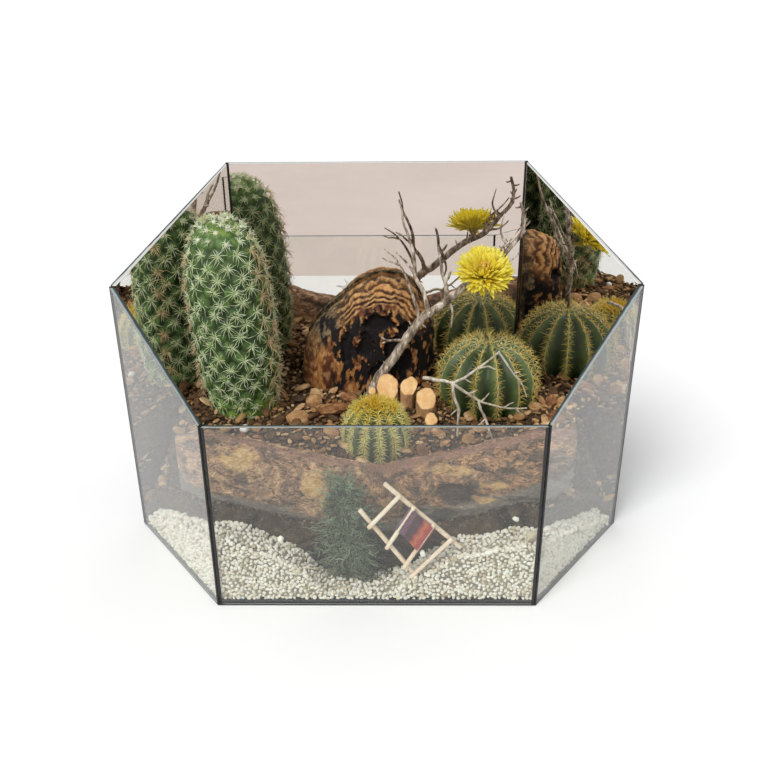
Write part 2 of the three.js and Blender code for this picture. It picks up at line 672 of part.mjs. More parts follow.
// Heaped fill: the ground surface is a grid with small bumps, cut to the plan outline.
function heap(outline, height, cell, seed, bump) {
  const random = randomFrom(seed);
  const columns = Math.round(340 / cell);
  const rows = Math.round(176 / cell);
  const points = [];
  for (const level of ["top", "bottom"]) {
    for (let row = 0; row <= rows; row++) {
      for (let column = 0; column <= columns; column++) {
        const x = -170 + (340 * column) / columns;
        const y = -88 + (176 * row) / rows;
        points.push([x, y, level === "top" ? height(x, y) + random(-bump, bump) : -10]);
      }
    }
  }
  const layer = (rows + 1) * (columns + 1);
  const at = (row, column) => row * (columns + 1) + column;
  const faces = [];
  for (let row = 0; row < rows; row++) {
    for (let column = 0; column < columns; column++) {
      const [a, b] = [at(row, column), at(row, column + 1)];
      const [c, d] = [at(row + 1, column + 1), at(row + 1, column)];
      faces.push([a, b, c], [a, c, d]);
      faces.push([a + layer, c + layer, b + layer], [a + layer, d + layer, c + layer]);
    }
  }
  const border = [];
  for (let column = 0; column < columns; column++) border.push(at(0, column));
  for (let row = 0; row < rows; row++) border.push(at(row, columns));
  for (let column = columns; column > 0; column--) border.push(at(rows, column));
  for (let row = rows; row > 0; row--) border.push(at(row, 0));
  border.forEach((a, i) => {
    const b = border[(i + 1) % border.length];
    faces.push([a, a + layer, b + layer], [a, b + layer, b]);
  });
  return solidOf(points, faces).intersect(prism(outline, baseThickness + clearance, 200));
}

// Gravel lies in front of a line that runs under the log and then back along the two side panes.
const frontLine = [[172, 2], [150.7, 3.2], [103.9, -60], [-103.9, -60], [-150.7, 3.2], [-172, 2]];
const inside = prism(fillPlan, baseThickness + clearance, 200);
const zone = (outline) => new CrossSection([outline], "Positive").extrude(200);
const frontZone = zone([[-172, -100], [172, -100], ...frontLine]);
const backLine = frontLine.map(([x, y]) => [x, y + 2 * clearance]);
const backZone = zone([...backLine.reverse(), [172, 100], [-172, 100]]);

// The smooth outline of a cactus, a little larger than it, to make its place in the soil.
function socket(cactus, profile, reliefHeight) {
  return cactusBody(cactus, 14, 9, profile, () => reliefHeight + clearance + 1.2);
}
const sunkInSoil = [
  logSolid(clearance + 0.1),
  stumpSolid(clearance + 0.6),
  socket(tallCactus, tallProfile, 1.2),
  socket(barrelCactus, barrelProfile, 1.6),
  socket(smallCactus, smallProfile, 0.8),
  branchSolid(0.8),
  ...twigRods(clearance + 0.15, 6),
  ...cutWood.map((piece) => cutWoodSolid(piece, clearance + 0.8)),
  ...stones.map((stone) => stoneSolid(stone, clearance + 0.15)),
];
// The moss stays behind the ladder and in front of the log.
const mossRoom = prism([[-60, -71.8], [40, -71.8], [40, -30], [-60, -30]], baseThickness + 2, 120);
const moss = mossSolid().intersect(mossRoom).subtract(logSolid(clearance));
const mossFoot = rod([[-16, -66.3, 9.6], [-15, -66.4, 34]], [5.4, 5.4], 8);

const largest = (solid) => solid.decompose().sort((a, b) => b.volume() - a.volume())[0];

const gravel = heap(fillPlan, gravelHeight, 7, 11, 1.6)
  .intersect(frontZone)
  .intersect(inside)
  .subtract(Manifold.union([logSolid(clearance + 0.1), mossFoot, ...grownRails]));
const soil = heap(fillPlan, soilHeight, 12, 12, 1.4)
  .intersect(backZone)
  .intersect(inside)
  .subtract(Manifold.union(sunkInSoil));

add("gravel_bed", largest(gravel), "whiteGravel");
add("soil_bed", largest(soil), "soil");
add("log", largest(log), "bark");
add("stump", stump, "stumpWood");
add("tall_cactus", largest(Manifold.union([tallBody, ...tallSpines()])), "cactusGreen");
const barrelSpines = ribSpines(barrelCactus, barrelProfile, {
  ribs: barrelRibs, rows: 6, length: 6.5, width: 0.5, seed: 3, start: 0.42,
});
add("barrel_cactus", Manifold.union([barrelBody, ...barrelSpines]), "barrelGreen");
const smallSpines = ribSpines(smallCactus, smallProfile, {
  ribs: smallRibs, rows: 5, length: 5, width: 0.45, seed: 9, start: 0.38,
});
add("small_cactus", Manifold.union([smallBody, ...smallSpines]), "smallGreen");
add("flower", flowerSolid(), "petal");
add("branch", branchSolid(0), "driftwood");
add("pale_twig", paleTwig, "paleTwig");
cutWood.forEach((piece, i) => add("cut_wood_" + (i + 1), cutWoodSolid(piece, 0), "cutWood"));
stones.forEach((stone) => add(stone.name, stoneSolid(stone, 0), stone.finish));
add("moss_plant", largest(moss), "moss");
add("ladder_rail_left", rails[0], "ladderWood");
add("ladder_rail_right", rails[1], "ladderWood");
rungs.forEach((rung, i) => add("ladder_rung_" + (i + 1), rung, "ladderWood"));
add("ladder_cloth", clothSolid(), "cloth");

export default part;
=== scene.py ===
# The desert terrarium: glass, plants, wood and stones, dressed for the render.
import bisect
import math
import random

import bmesh
import bpy
from mathutils import Matrix, Vector, noise


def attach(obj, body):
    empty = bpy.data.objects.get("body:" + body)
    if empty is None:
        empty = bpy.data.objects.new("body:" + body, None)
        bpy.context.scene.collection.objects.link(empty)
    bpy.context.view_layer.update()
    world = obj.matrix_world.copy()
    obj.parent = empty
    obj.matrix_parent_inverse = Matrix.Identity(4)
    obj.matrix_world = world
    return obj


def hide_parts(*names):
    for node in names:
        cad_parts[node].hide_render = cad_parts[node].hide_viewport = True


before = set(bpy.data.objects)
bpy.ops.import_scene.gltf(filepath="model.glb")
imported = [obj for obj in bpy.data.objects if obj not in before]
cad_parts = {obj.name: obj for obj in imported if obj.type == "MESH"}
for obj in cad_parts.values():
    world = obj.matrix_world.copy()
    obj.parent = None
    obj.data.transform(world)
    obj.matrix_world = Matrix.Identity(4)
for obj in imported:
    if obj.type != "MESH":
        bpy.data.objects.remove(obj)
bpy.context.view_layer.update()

mm = 0.001
up = Vector((0, 0, 1))


# Camera
camera = {
    "target": (0, 0, 90.42), "distance": 658.7,  # mm
    "elevation": 28.98, "azimuth": 1.06, "roll": -0.62,  # degrees
    "lens": 46.73, "shiftX": 0.0022, "shiftY": 0.0460,
}


def makeCamera():
    turn, rise = math.radians(camera["azimuth"]), math.radians(camera["elevation"])
    back = Vector((math.sin(turn) * math.cos(rise), -math.cos(turn) * math.cos(rise), math.sin(rise)))
    right = (-back).cross(up).normalized()
    roll = Matrix.Rotation(math.radians(camera["roll"]), 3, back)
    right = roll @ right
    data = bpy.data.cameras.new("photoCamera")
    data.lens, data.shift_x, data.shift_y = camera["lens"], camera["shiftX"], camera["shiftY"]
    data.clip_start, data.clip_end = 0.01, 50
    made = bpy.data.objects.new("photoCamera", data)
    axes = Matrix((right, back.cross(right), back)).transposed().to_4x4()
    place = (Vector(camera["target"]) + back * camera["distance"]) * mm
    made.matrix_world = Matrix.Translation(place) @ axes
    bpy.context.scene.collection.objects.link(made)
    bpy.context.scene.camera = made


makeCamera()
print("camera is in place")


# Tools for materials
def tone(code):  # sRGB hex to linear
    parts = [int(code[i:i + 2], 16) / 255 for i in (1, 3, 5)]
    return [p / 12.92 if p <= 0.04045 else ((p + 0.055) / 1.055) ** 2.4 for p in parts] + [1.0]


def newMaterial(name):
    made = bpy.data.materials.new(name)
    made.use_nodes = True
    made.node_tree.nodes.clear()
    return made


def addNode(mat, kind, inputs=None, stops=None, **settings):
    node = mat.node_tree.nodes.new("ShaderNode" + kind)
    for key, value in settings.items():
        setattr(node, key, value)
    if stops:
        elements = node.color_ramp.elements
        while len(elements) < len(stops):
            elements.new(1.0)
        for element, (place, code) in zip(elements, stops):
            element.position = place
            element.color = tone(code)
    for key, value in (inputs or {}).items():
        if isinstance(value, bpy.types.Node):
            value = value.outputs[0]
        if isinstance(value, bpy.types.NodeSocket):
            mat.node_tree.links.new(value, node.inputs[key])
        else:
            node.inputs[key].default_value = value
    return node


def coordinates(mat, stretch=(1, 1, 1), turn=(0, 0, 0)):
    place = addNode(mat, "TexCoord").outputs["Object"]
    return addNode(mat, "Mapping", {"Vector": place, "Rotation": turn, "Scale": stretch})


def natural(name, stops, patch, grain, roughness, bump, stretch=(1, 1, 1), turn=(0, 0, 0),
            shade=0.0, shadeStops=None, sheen=0.0, contrast=0.5, soft=0.0, through=0.0):
    # Broad patches of colour, a fine grain over them, and a shade that each small piece carries.
    # patch, grain and bump are sizes in millimetres.
    mat = newMaterial(name)
    place = coordinates(mat, stretch, turn)
    patches = addNode(mat, "TexNoise", {"Vector": place, "Scale": 1000 / patch, "Detail": 5.0,
                                        "Roughness": 0.6})
    colour = addNode(mat, "ValToRGB", {"Fac": patches}, stops)
    fine = addNode(mat, "TexNoise", {"Vector": place, "Scale": 1000 / grain, "Detail": 6.0,
                                     "Roughness": 0.65})
    speckle = addNode(mat, "MapRange", {"Value": fine, "From Min": 0.3, "From Max": 0.7,
                                        "To Min": 1 - contrast, "To Max": 1 + contrast * 0.6})
    colour = addNode(mat, "Mix", {0: 1.0, 6: colour, 7: speckle}, data_type="RGBA", blend_type="MULTIPLY")
    colour = colour.outputs[2]
    if shadeStops:
        carried = addNode(mat, "Attribute", attribute_name="shade").outputs["Fac"]
        own = addNode(mat, "ValToRGB", {"Fac": carried}, shadeStops)
        colour = addNode(mat, "Mix", {0: shade, 6: colour, 7: own}, data_type="RGBA",
                         blend_type="MULTIPLY").outputs[2]
    relief = addNode(mat, "Bump", {"Height": fine, "Strength": 1.0, "Distance": bump * mm})
    surface = addNode(mat, "BsdfPrincipled", {
        "Base Color": colour, "Roughness": roughness, "Specular IOR Level": 0.4,
        "Sheen Weight": sheen, "Normal": relief, "Subsurface Weight": soft,
        "Subsurface Scale": 0.002})
    if through:  # the share of the light that shines through a thin piece
        shining = addNode(mat, "BsdfTranslucent", {"Color": colour})
        surface = addNode(mat, "MixShader", {0: through, 1: surface, 2: shining})
    addNode(mat, "OutputMaterial", {"Surface": surface})
    return mat


# Tools for shapes
def clip(value):  # kept between 0 and 1
    return min(1.0, max(0.0, value))


def fade(low, high, value):  # 0 below low, 1 above high, smooth between
    t = clip((value - low) / (high - low))
    return t * t * (3 - 2 * t)


def blend(a, b, t):
    return a + (b - a) * t


def along(points, x):  # the height at x of a line through the points
    if x <= points[0][0]:
        return points[0][1]
    for (x0, y0), (x1, y1) in zip(points, points[1:]):
        if x <= x1:
            return blend(y0, y1, (x - x0) / (x1 - x0))
    return points[-1][1]


def wave(place, size, octaves=4):  # noise from about -1 to 1, with features of the size in mm
    return noise.fractal(Vector(place) / size, 0.9, 2.1, octaves, noise_basis="PERLIN_ORIGINAL")


def copyOf(node):  # the CAD solid as one welded mesh in mm
    bm = bmesh.new()
    bm.from_mesh(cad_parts[node].data)
    bmesh.ops.scale(bm, vec=(1000, 1000, 1000), verts=bm.verts)
    bmesh.ops.remove_doubles(bm, verts=bm.verts, dist=0.02)
    return bm


def flatCopy(node):  # the same with each flat side as one face
    bm = copyOf(node)
    bmesh.ops.dissolve_limit(bm, angle_limit=math.radians(2), verts=bm.verts, edges=bm.edges)
    return bm


def roundEdges(bm, edges, offset):
    bmesh.ops.bevel(bm, geom=edges, affect="EDGES", offset=offset, segments=2, profile=0.5, material=-1)


def edgesAlong(bm, heading):  # the edges that run with a rod
    return [edge for edge in bm.edges
            if abs((edge.verts[0].co - edge.verts[1].co).normalized().dot(heading)) > 0.95]


def pushFace(bm, face, keepOld=False):  # extrudes one face and gives the new one
    made = bmesh.ops.extrude_face_region(bm, geom=[face])["geom"]
    pushed = next(g for g in made if isinstance(g, bmesh.types.BMFace))
    if not keepOld:
        bmesh.ops.delete(bm, geom=[face], context="FACES_ONLY")
    return pushed


def asObject(bm, name, materials):  # from mm to metres, at the origin
    bmesh.ops.scale(bm, vec=(mm, mm, mm), verts=bm.verts)
    mesh = bpy.data.meshes.new(name)
    bm.to_mesh(mesh)
    bm.free()
    for material in materials:
        mesh.materials.append(material)
    made = bpy.data.objects.new(name, mesh)
    bpy.context.scene.collection.objects.link(made)
    return made


def finishPiece(bm, name, materials, slot, nodes=(), smooth=True, weld=0.0):
    if weld:
        bmesh.ops.remove_doubles(bm, verts=bm.verts, dist=weld)
    bmesh.ops.recalc_face_normals(bm, faces=bm.faces)
    for face in bm.faces:
        face.smooth = smooth
    piece = asObject(bm, name, materials)
    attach(piece, "root")
    if nodes:
        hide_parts(*nodes)
    return piece


def wrapGrid(around, lengthways, shape, layers=("shade",)):
    # A grid wrapped into a closed skin: shape(u, v) gives the place and the painted values.
    bm = bmesh.new()
    bmesh.ops.create_grid(bm, x_segments=around, y_segments=lengthways, size=1)
    painted = [bm.verts.layers.float.new(layer) for layer in layers]
    for vert in bm.verts:
        u, v = (vert.co.x + 1) / 2, (vert.co.y + 1) / 2
        place, values = shape(u % 1.0, v)
        vert.co = place
        for layer, value in zip(painted, values):
            vert[layer] = value
    bmesh.ops.remove_doubles(bm, verts=bm.verts, dist=0.003)
    return bm


def aim(root, direction):  # a matrix that puts +Z along direction, at root
    return Matrix.Translation(root) @ direction.to_track_quat("Z", "Y").to_matrix().to_4x4()


def setShade(made, layer, shade):
    for vert in made["verts"]:
        vert[layer] = shade


def addSpine(bm, layer, root, direction, length, width, shade, bend=None):
    # Two short cones, the second bent a little from the first and starting just inside it.
    direction = direction.normalized()
    half = length * 0.5
    bent = (direction + bend).normalized() if bend else direction
    for start, heading, wide, tip in ((root, direction, width, width * 0.75),
                                      (root + direction * half * 0.97, bent, width * 0.75, width * 0.12)):
        made = bmesh.ops.create_cone(bm, cap_ends=True, segments=3, radius1=wide, radius2=tip,
                                     depth=half, matrix=aim(start + heading * half / 2, heading))
        setShade(made, layer, shade)


def randomWay(rng, reach=1):
    return Vector([rng.uniform(-reach, reach) for _ in range(3)])


def addPebble(bm, layer, place, size, shade, rng, rough, flat, breaks=0):
    # A small lump. breaks is the number of flat sides it was broken to.
    turn = Matrix.Rotation(rng.uniform(0, 6.28), 4, Vector((rng.uniform(-1, 1), rng.uniform(-1, 1), 1)))
    matrix = Matrix.Translation(place) @ turn @ Matrix.Diagonal((*flat, 1))
    if breaks:
        made = bmesh.ops.create_uvsphere(bm, u_segments=8, v_segments=5, radius=size, matrix=matrix)
    else:
        made = bmesh.ops.create_icosphere(bm, subdivisions=1, radius=size, matrix=matrix)
    sides = [randomWay(rng).normalized() for _ in range(breaks)]
    for vert in made["verts"]:
        vert.co += (vert.co - place) * rng.uniform(-rough, rough)
        for side in sides:
            beyond = (vert.co - place).dot(side) - size * 0.58
            if beyond > 0:
                vert.co -= side * beyond
        vert[layer] = shade


def spotsOn(node, spacing, seed, wanted, tries=14):
    # Random places on a CAD solid's surface, at least spacing mm apart, with the normal there.
    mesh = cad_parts[node].data
    mesh.calc_loop_triangles()
    faces, sizes, total = [], [], 0.0
    for tri in mesh.loop_triangles:
        a, b, c = (mesh.vertices[i].co * 1000 for i in tri.vertices)
        normal = (b - a).cross(c - a)
        area = normal.length / 2
        if area < 1e-6:
            continue
        normal.normalize()
        if not wanted((a + b + c) / 3, normal):
            continue
        total += area
        faces.append((a, b, c, normal))
        sizes.append(total)
    rng = random.Random(seed)
    taken, spots = {}, []
    for _ in range(int(total / spacing ** 2 * tries)):
        a, b, c, normal = faces[min(bisect.bisect(sizes, rng.uniform(0, total)), len(faces) - 1)]
        s, t = rng.random(), rng.random()
        if s + t > 1:
            s, t = 1 - s, 1 - t
        place = a + (b - a) * s + (c - a) * t
        key = tuple(int(math.floor(k / spacing)) for k in place)
        near = (taken.get((key[0] + i, key[1] + j, key[2] + k)) for i in (-1, 0, 1)
                for j in (-1, 0, 1) for k in (-1, 0, 1))
        if any((other - place).length < spacing for group in near if group for other in group):
            continue
        taken.setdefault(key, []).append(place)
        spots.append((place, normal))
    return spots


def inBatches(items, make, size=80):
    # Makes the items in small meshes and joins them, which is much quicker than one growing mesh.
    whole = bmesh.new()
    for start in range(0, len(items), size):
        part = bmesh.new()
        layer = part.verts.layers.float.new("shade")
        for item in items[start:start + size]:
            make(part, layer, item)
        mesh = bpy.data.meshes.new("batch")
        part.to_mesh(mesh)
        part.free()
        whole.from_mesh(mesh)
        bpy.data.meshes.remove(mesh)
    return whole


def smoothPath(points, steps):  # a curve through the points, with so many steps from each to the next
    points = [Vector(point) for point in points]
    path = []
    for k in range(len(points) - 1):
        before, after = points[max(k - 1, 0)], points[min(k + 2, len(points) - 1)]
        a, b = points[k], points[k + 1]
        m0, m1 = (b - before) / 2, (after - a) / 2
        for step in range(steps):
            t = step / steps
            path.append(a * (2 * t ** 3 - 3 * t ** 2 + 1) + m0 * (t ** 3 - 2 * t ** 2 + t)
                        + b * (3 * t ** 2 - 2 * t ** 3) + m1 * (t ** 3 - t ** 2))
    return path + [points[-1]]


def addStick(bm, layer, points, radii, sides=8, steps=6, knobs=0.0, shade=0.5):
    # A rod swept along a smooth path: a disc is extruded from ring to ring.
    path = smoothPath(points, steps)
    count = len(path) - 1
    made = bmesh.ops.create_circle(bm, cap_ends=True, segments=sides, radius=1)
    face = made["verts"][0].link_faces[0]
    unitRing = [loop.vert.co.copy() for loop in face.loops]
    across = None
    for k, place in enumerate(path):
        heading = (path[min(k + 1, count)] - path[max(k - 1, 0)]).normalized()
        across = heading.orthogonal() if across is None else across
        across = (across - heading * across.dot(heading)).normalized()
        other = heading.cross(across)
        radius = blend(*radii, k / count)
        if k:
            face = pushFace(bm, face, keepOld=k == 1)  # the first disc stays as the end of the rod
        for loop, co in zip(face.loops, unitRing):
            spot = place + (across * co.x + other * co.y) * radius
            if knobs:
                spot += (spot - place) * knobs * wave(spot, radius * 2.2, 2)
            loop.vert.co = spot
            loop.vert[layer] = shade


print("tools are ready")


# The tank
tank = {"arris": 0.25, "beadRound": 0.2, "thickness": 3, "rimHeight": 0.6, "rimGap": 0.04,  # mm
        "silverDepth": 2.0, "sideSilver": (2.7, 0.3),  # back mirror, front and back end of a side mirror
        "beadInner": 1.6, "beadBack": 1.1, "beadWider": 0.36,  # the sealant between two mirrors
        "glassTint": "#fcfefc", "silver": "#eae7e3"}


def floatGlass():
    # Clear float glass: flat, fire-polished, almost colourless. Lamps shine through it.
    mat = newMaterial("floatGlass")
    glass = addNode(mat, "BsdfPrincipled", {"Base Color": tone(tank["glassTint"]), "Roughness": 0.0,
                                            "IOR": 1.52, "Transmission Weight": 1.0})
    clear = addNode(mat, "BsdfTransparent", {"Color": tone("#f7faf8")})
    path = addNode(mat, "LightPath")
    lit = addNode(mat, "Math", {0: path.outputs["Is Shadow Ray"], 1: path.outputs["Is Diffuse Ray"]},
                  operation="MAXIMUM")
    both = addNode(mat, "MixShader", {0: lit, 1: glass, 2: clear})
    addNode(mat, "OutputMaterial", {"Surface": both})
    return mat


def glassEdge(name, stops):
    # The ground edge of float glass, painted in light and shade: a dark band on one side, a painted
    # highlight where light comes out of it on the other.
    mat = newMaterial(name)
    place = coordinates(mat)
    fine = addNode(mat, "TexNoise", {"Vector": place, "Scale": 1000 / 6, "Detail": 3.0})
    edgeJitter = addNode(mat, "MapRange", {"Value": fine, "From Min": 0.3, "From Max": 0.7, "To Min": -0.07,
                                     "To Max": 0.07})
    across = addNode(mat, "Attribute", attribute_name="across").outputs["Fac"]
    uneven = addNode(mat, "Math", {0: across, 1: edgeJitter}, operation="ADD")
    colour = addNode(mat, "ValToRGB", {"Fac": uneven}, stops)
    surface = addNode(mat, "BsdfPrincipled", {"Base Color": colour, "Roughness": 0.25, "IOR": 1.45})
    addNode(mat, "OutputMaterial", {"Surface": surface})
    return mat


def silverMirror():
    # Mirror silver: bright, with a faint warm grey cast and a little haze.
    mat = newMaterial("silverMirror")
    place = coordinates(mat)
    haze = addNode(mat, "TexNoise", {"Vector": place, "Scale": 1000 / 60, "Detail": 4.0})
    rough = addNode(mat, "MapRange", {"Value": haze, "From Min": 0.35, "From Max": 0.75,
                                      "To Min": 0.004, "To Max": 0.02})
    surface = addNode(mat, "BsdfPrincipled", {"Base Color": tone(tank["silver"]), "Metallic": 1.0,
                                              "Roughness": rough})
    addNode(mat, "OutputMaterial", {"Surface": surface})
    return mat


glassPanes = ["front_pane", "front_left_pane", "front_right_pane"]
mirrorPanes = ["back_mirror", "rear_left_mirror", "rear_right_mirror"]
seams = [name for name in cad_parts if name.startswith(("corner_seam", "base_seam"))]


def makeTank():
    glass, silver = floatGlass(), silverMirror()
    # the edge bands are painted light and shade: pale on the outer side of a clear pane, pale on the inner
    # side of a mirror
    clearEdge = glassEdge("glassEdge", [(0.0, "#a3adaa"), (0.4, "#8d9795"), (0.52, "#3a4445"),
                                        (1.0, "#2a3230")])
    mirrorEdge = glassEdge("mirrorEdge", [(0.0, "#333a3a"), (0.3, "#4c5454"), (0.42, "#b9bab6"),
                                          (1.0, "#d5d3ce")])
    backing = natural("mirrorBackPaint", [(0.35, "#6f7172"), (0.65, "#7d7f80")], 25, 1.2, 0.55, 0.04,
                      contrast=0.12)  # grey protective paint, rolled on, slightly dimpled
    sealant = natural("siliconeSealant", [(0.3, "#0c0c0c"), (0.7, "#161616")], 8, 1.6, 0.38, 0.12,
                      contrast=0.3)  # black silicone, tooled by hand, satin
    for name in glassPanes + mirrorPanes:
        bm = flatCopy(name)
        mirrored = name in mirrorPanes
        inward = splitMirror(bm) if mirrored else paint(bm, 0, 0)
        roundEdges(bm, bm.edges[:], tank["arris"])
        layer = bm.verts.layers.float.new("across")  # 0 at the outer face, 1 at the inner one
        inner = max(vert.co.dot(inward) for vert in bm.verts)
        outer = min(vert.co.dot(inward) for vert in bm.verts)
        for vert in bm.verts:
            vert[layer] = (vert.co.dot(inward) - outer) / (inner - outer)
        kept = [silver, mirrorEdge, sealant, backing] if mirrored else [glass, clearEdge, sealant]
        finishPiece(bm, name + "_glass", kept, "mirror_glass" if mirrored else "clear_glass", [name],
                    smooth=False)
    for name in seams:
        bm = flatCopy(name)
        if "seam_back_" in name:
            setBack(bm, 1 if "right" in name else -1)
        roundEdges(bm, bm.edges[:], tank["beadRound"])
        finishPiece(bm, name + "_bead", [sealant], "black_sealant", [name])
    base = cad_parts["base_pane"]
    base.data.materials.clear()
    base.data.materials.append(glass)


def setBack(bm, side):  # between two mirrors the sealant starts at their silver, and is a little wider
    outward = Vector((0.43 * side, 0.9, 0))
    across = Vector((outward.y, -outward.x, 0))
    nearest = min(vert.co.dot(outward) for vert in bm.verts)
    middle = sum(vert.co.dot(across) for vert in bm.verts) / len(bm.verts)
    for vert in bm.verts:
        if vert.co.dot(outward) < nearest + tank["beadInner"]:
            vert.co += outward * tank["silverDepth"] * tank["beadBack"]
        vert.co += across * (vert.co.dot(across) - middle) * tank["beadWider"]


def paint(bm, inner, outer):  # the two broad faces, the bare rim (1), the ends and foot in sealant (2)
    bm.normal_update()
    broad = sorted(bm.faces, key=lambda face: -face.calc_area())[:2]
    broad.sort(key=lambda face: face.calc_center_median().xy.length)
    for face in bm.faces:
        face.material_index = 1 if face.normal.z > 0.5 else 2
    broad[0].material_index, broad[1].material_index = inner, outer
    return broad[0].normal.copy()


def splitMirror(bm):
    # The silver lies on the back of the glass, so the reflecting face stands back from the rim. In the
    # rear side panes its depth also changes from end to end, as the reflections in the photograph ask.
    rim = bm.copy()
    normal = paint(bm, 0, 3)
    bottom = min(vert.co.z for vert in bm.verts)
    upperPart = bottom + 5
    front = max(vert.co.dot(normal) for vert in bm.verts)
    inner = [vert for vert in bm.verts if vert.co.dot(normal) > front - 0.5]
    outer = [vert for vert in bm.verts if vert not in inner]
    backY = max(vert.co.y for vert in bm.verts)
    for vert in inner:
        behind = min(outer, key=lambda other: (other.co - vert.co).length)
        slanted = abs(normal.x) > 0.3
        depth = blend(*tank["sideSilver"], vert.co.y / backY) if slanted else tank["silverDepth"]
        vert.co = vert.co.lerp(behind.co, depth / tank["thickness"])
    for vert in bm.verts:
        if vert.co.z > upperPart:
            vert.co.z -= tank["rimHeight"] + tank["rimGap"]
    for vert in rim.verts:  # the lower corners come up to just below the ones over them
        if vert.co.z < upperPart:
            over = (other.co.z for other in rim.verts
                    if other.co.z > upperPart and (other.co.xy - vert.co.xy).length < 0.2)
            vert.co.z = min(over) - tank["rimHeight"]
    for face in rim.faces:
        face.material_index = 1
    mesh = bpy.data.meshes.new("mirrorRim")
    rim.to_mesh(mesh)
    bm.from_mesh(mesh)
    rim.free()
    bpy.data.meshes.remove(mesh)
    return normal


makeTank()
print("tank is made")


# Gravel and soil
ground = {"grain": 1.95, "grainGap": 2.5, "glassGap": 2.15, "gravelSunk": 2.2,  # mm
          "crumb": (0.8, 1.6), "crumbGap": 2.5, "wallGap": 2.3, "soilSunk": 1.0,
          "chip": (1.6, 3.3), "chipGap": 3.6, "bigChip": (3.8, 6.5), "bigChipGap": 11, "bigChips": 150,
          "steep": 0.45, "breaks": 5,  # how upright a normal is on level ground; broken sides of a grain
          "strays": ((-59, -77, 48, 2.6, 0.9), (29, -79, 38, 2.2, 0.8), (86, -74.5, 60.5, 2.4, 0.8),
                     (96, -77.2, 51, 4.4, 0.03))}  # loose ones on top: x, y, z, size and shade


def sunkBed(node, depth):  # the CAD bed, drawn in a little on every side, to lie beneath the grains
    bm = copyOf(node)
    bmesh.ops.recalc_face_normals(bm, faces=bm.faces)
    moves = {vert: -vert.normal * depth for vert in bm.verts}
    for vert, move in moves.items():
        vert.co += move
    return bm


def makeGravel():
    stone = natural("quartzGravel", [(0.3, "#d9d0c0"), (0.45, "#ece5da"), (0.7, "#f9f5ee")], 5, 0.8, 0.85,
                    0.3, shade=0.9, shadeStops=[(0.0, "#c0b298"), (0.1, "#e8decd"), (0.3, "#fbf7f0"),
                                                (1.0, "#ffffff")], contrast=0.16)
    # the bed under the grains is darker than the stones: painted shade in the gaps between them
    bed = natural("gravelGapShade", [(0.3, "#bab0a2"), (0.7, "#d6ccbc")], 4, 0.7, 0.95, 0.4)
    finishPiece(sunkBed("gravel_bed", ground["gravelSunk"]), "gravel_ground", [bed], "white_gravel",
                ["gravel_bed"])
    rng = random.Random(4)
    steep = ground["steep"]
    onTop = spotsOn("gravel_bed", ground["grainGap"], 3, lambda place, normal: normal.z > steep)
    atGlass = spotsOn("gravel_bed", ground["glassGap"], 13, lambda place, normal: -0.5 < normal.z <= steep)

    def makeGrain(part, layer, item):
        place, normal = item[:2]
        size, shade = item[2:] or (ground["grain"] * rng.uniform(0.62, 1.14), rng.random())
        sunk = 0.2 if normal.z > steep else 0.95
        flat = (1.0, rng.uniform(0.65, 1.0), rng.uniform(0.55, 0.95))
        addPebble(part, layer, place - normal * size * sunk, size, shade, rng, 0.16, flat, ground["breaks"])

    strays = [(Vector(stray[:3]), up, *stray[3:]) for stray in ground["strays"]]
    for name, spots in (("gravel_grains", onTop), ("gravel_at_glass", atGlass + strays)):
        finishPiece(inBatches(spots, makeGrain), name, [stone], "white_gravel", smooth=False)
    print("gravel grains:", len(onTop), len(atGlass))


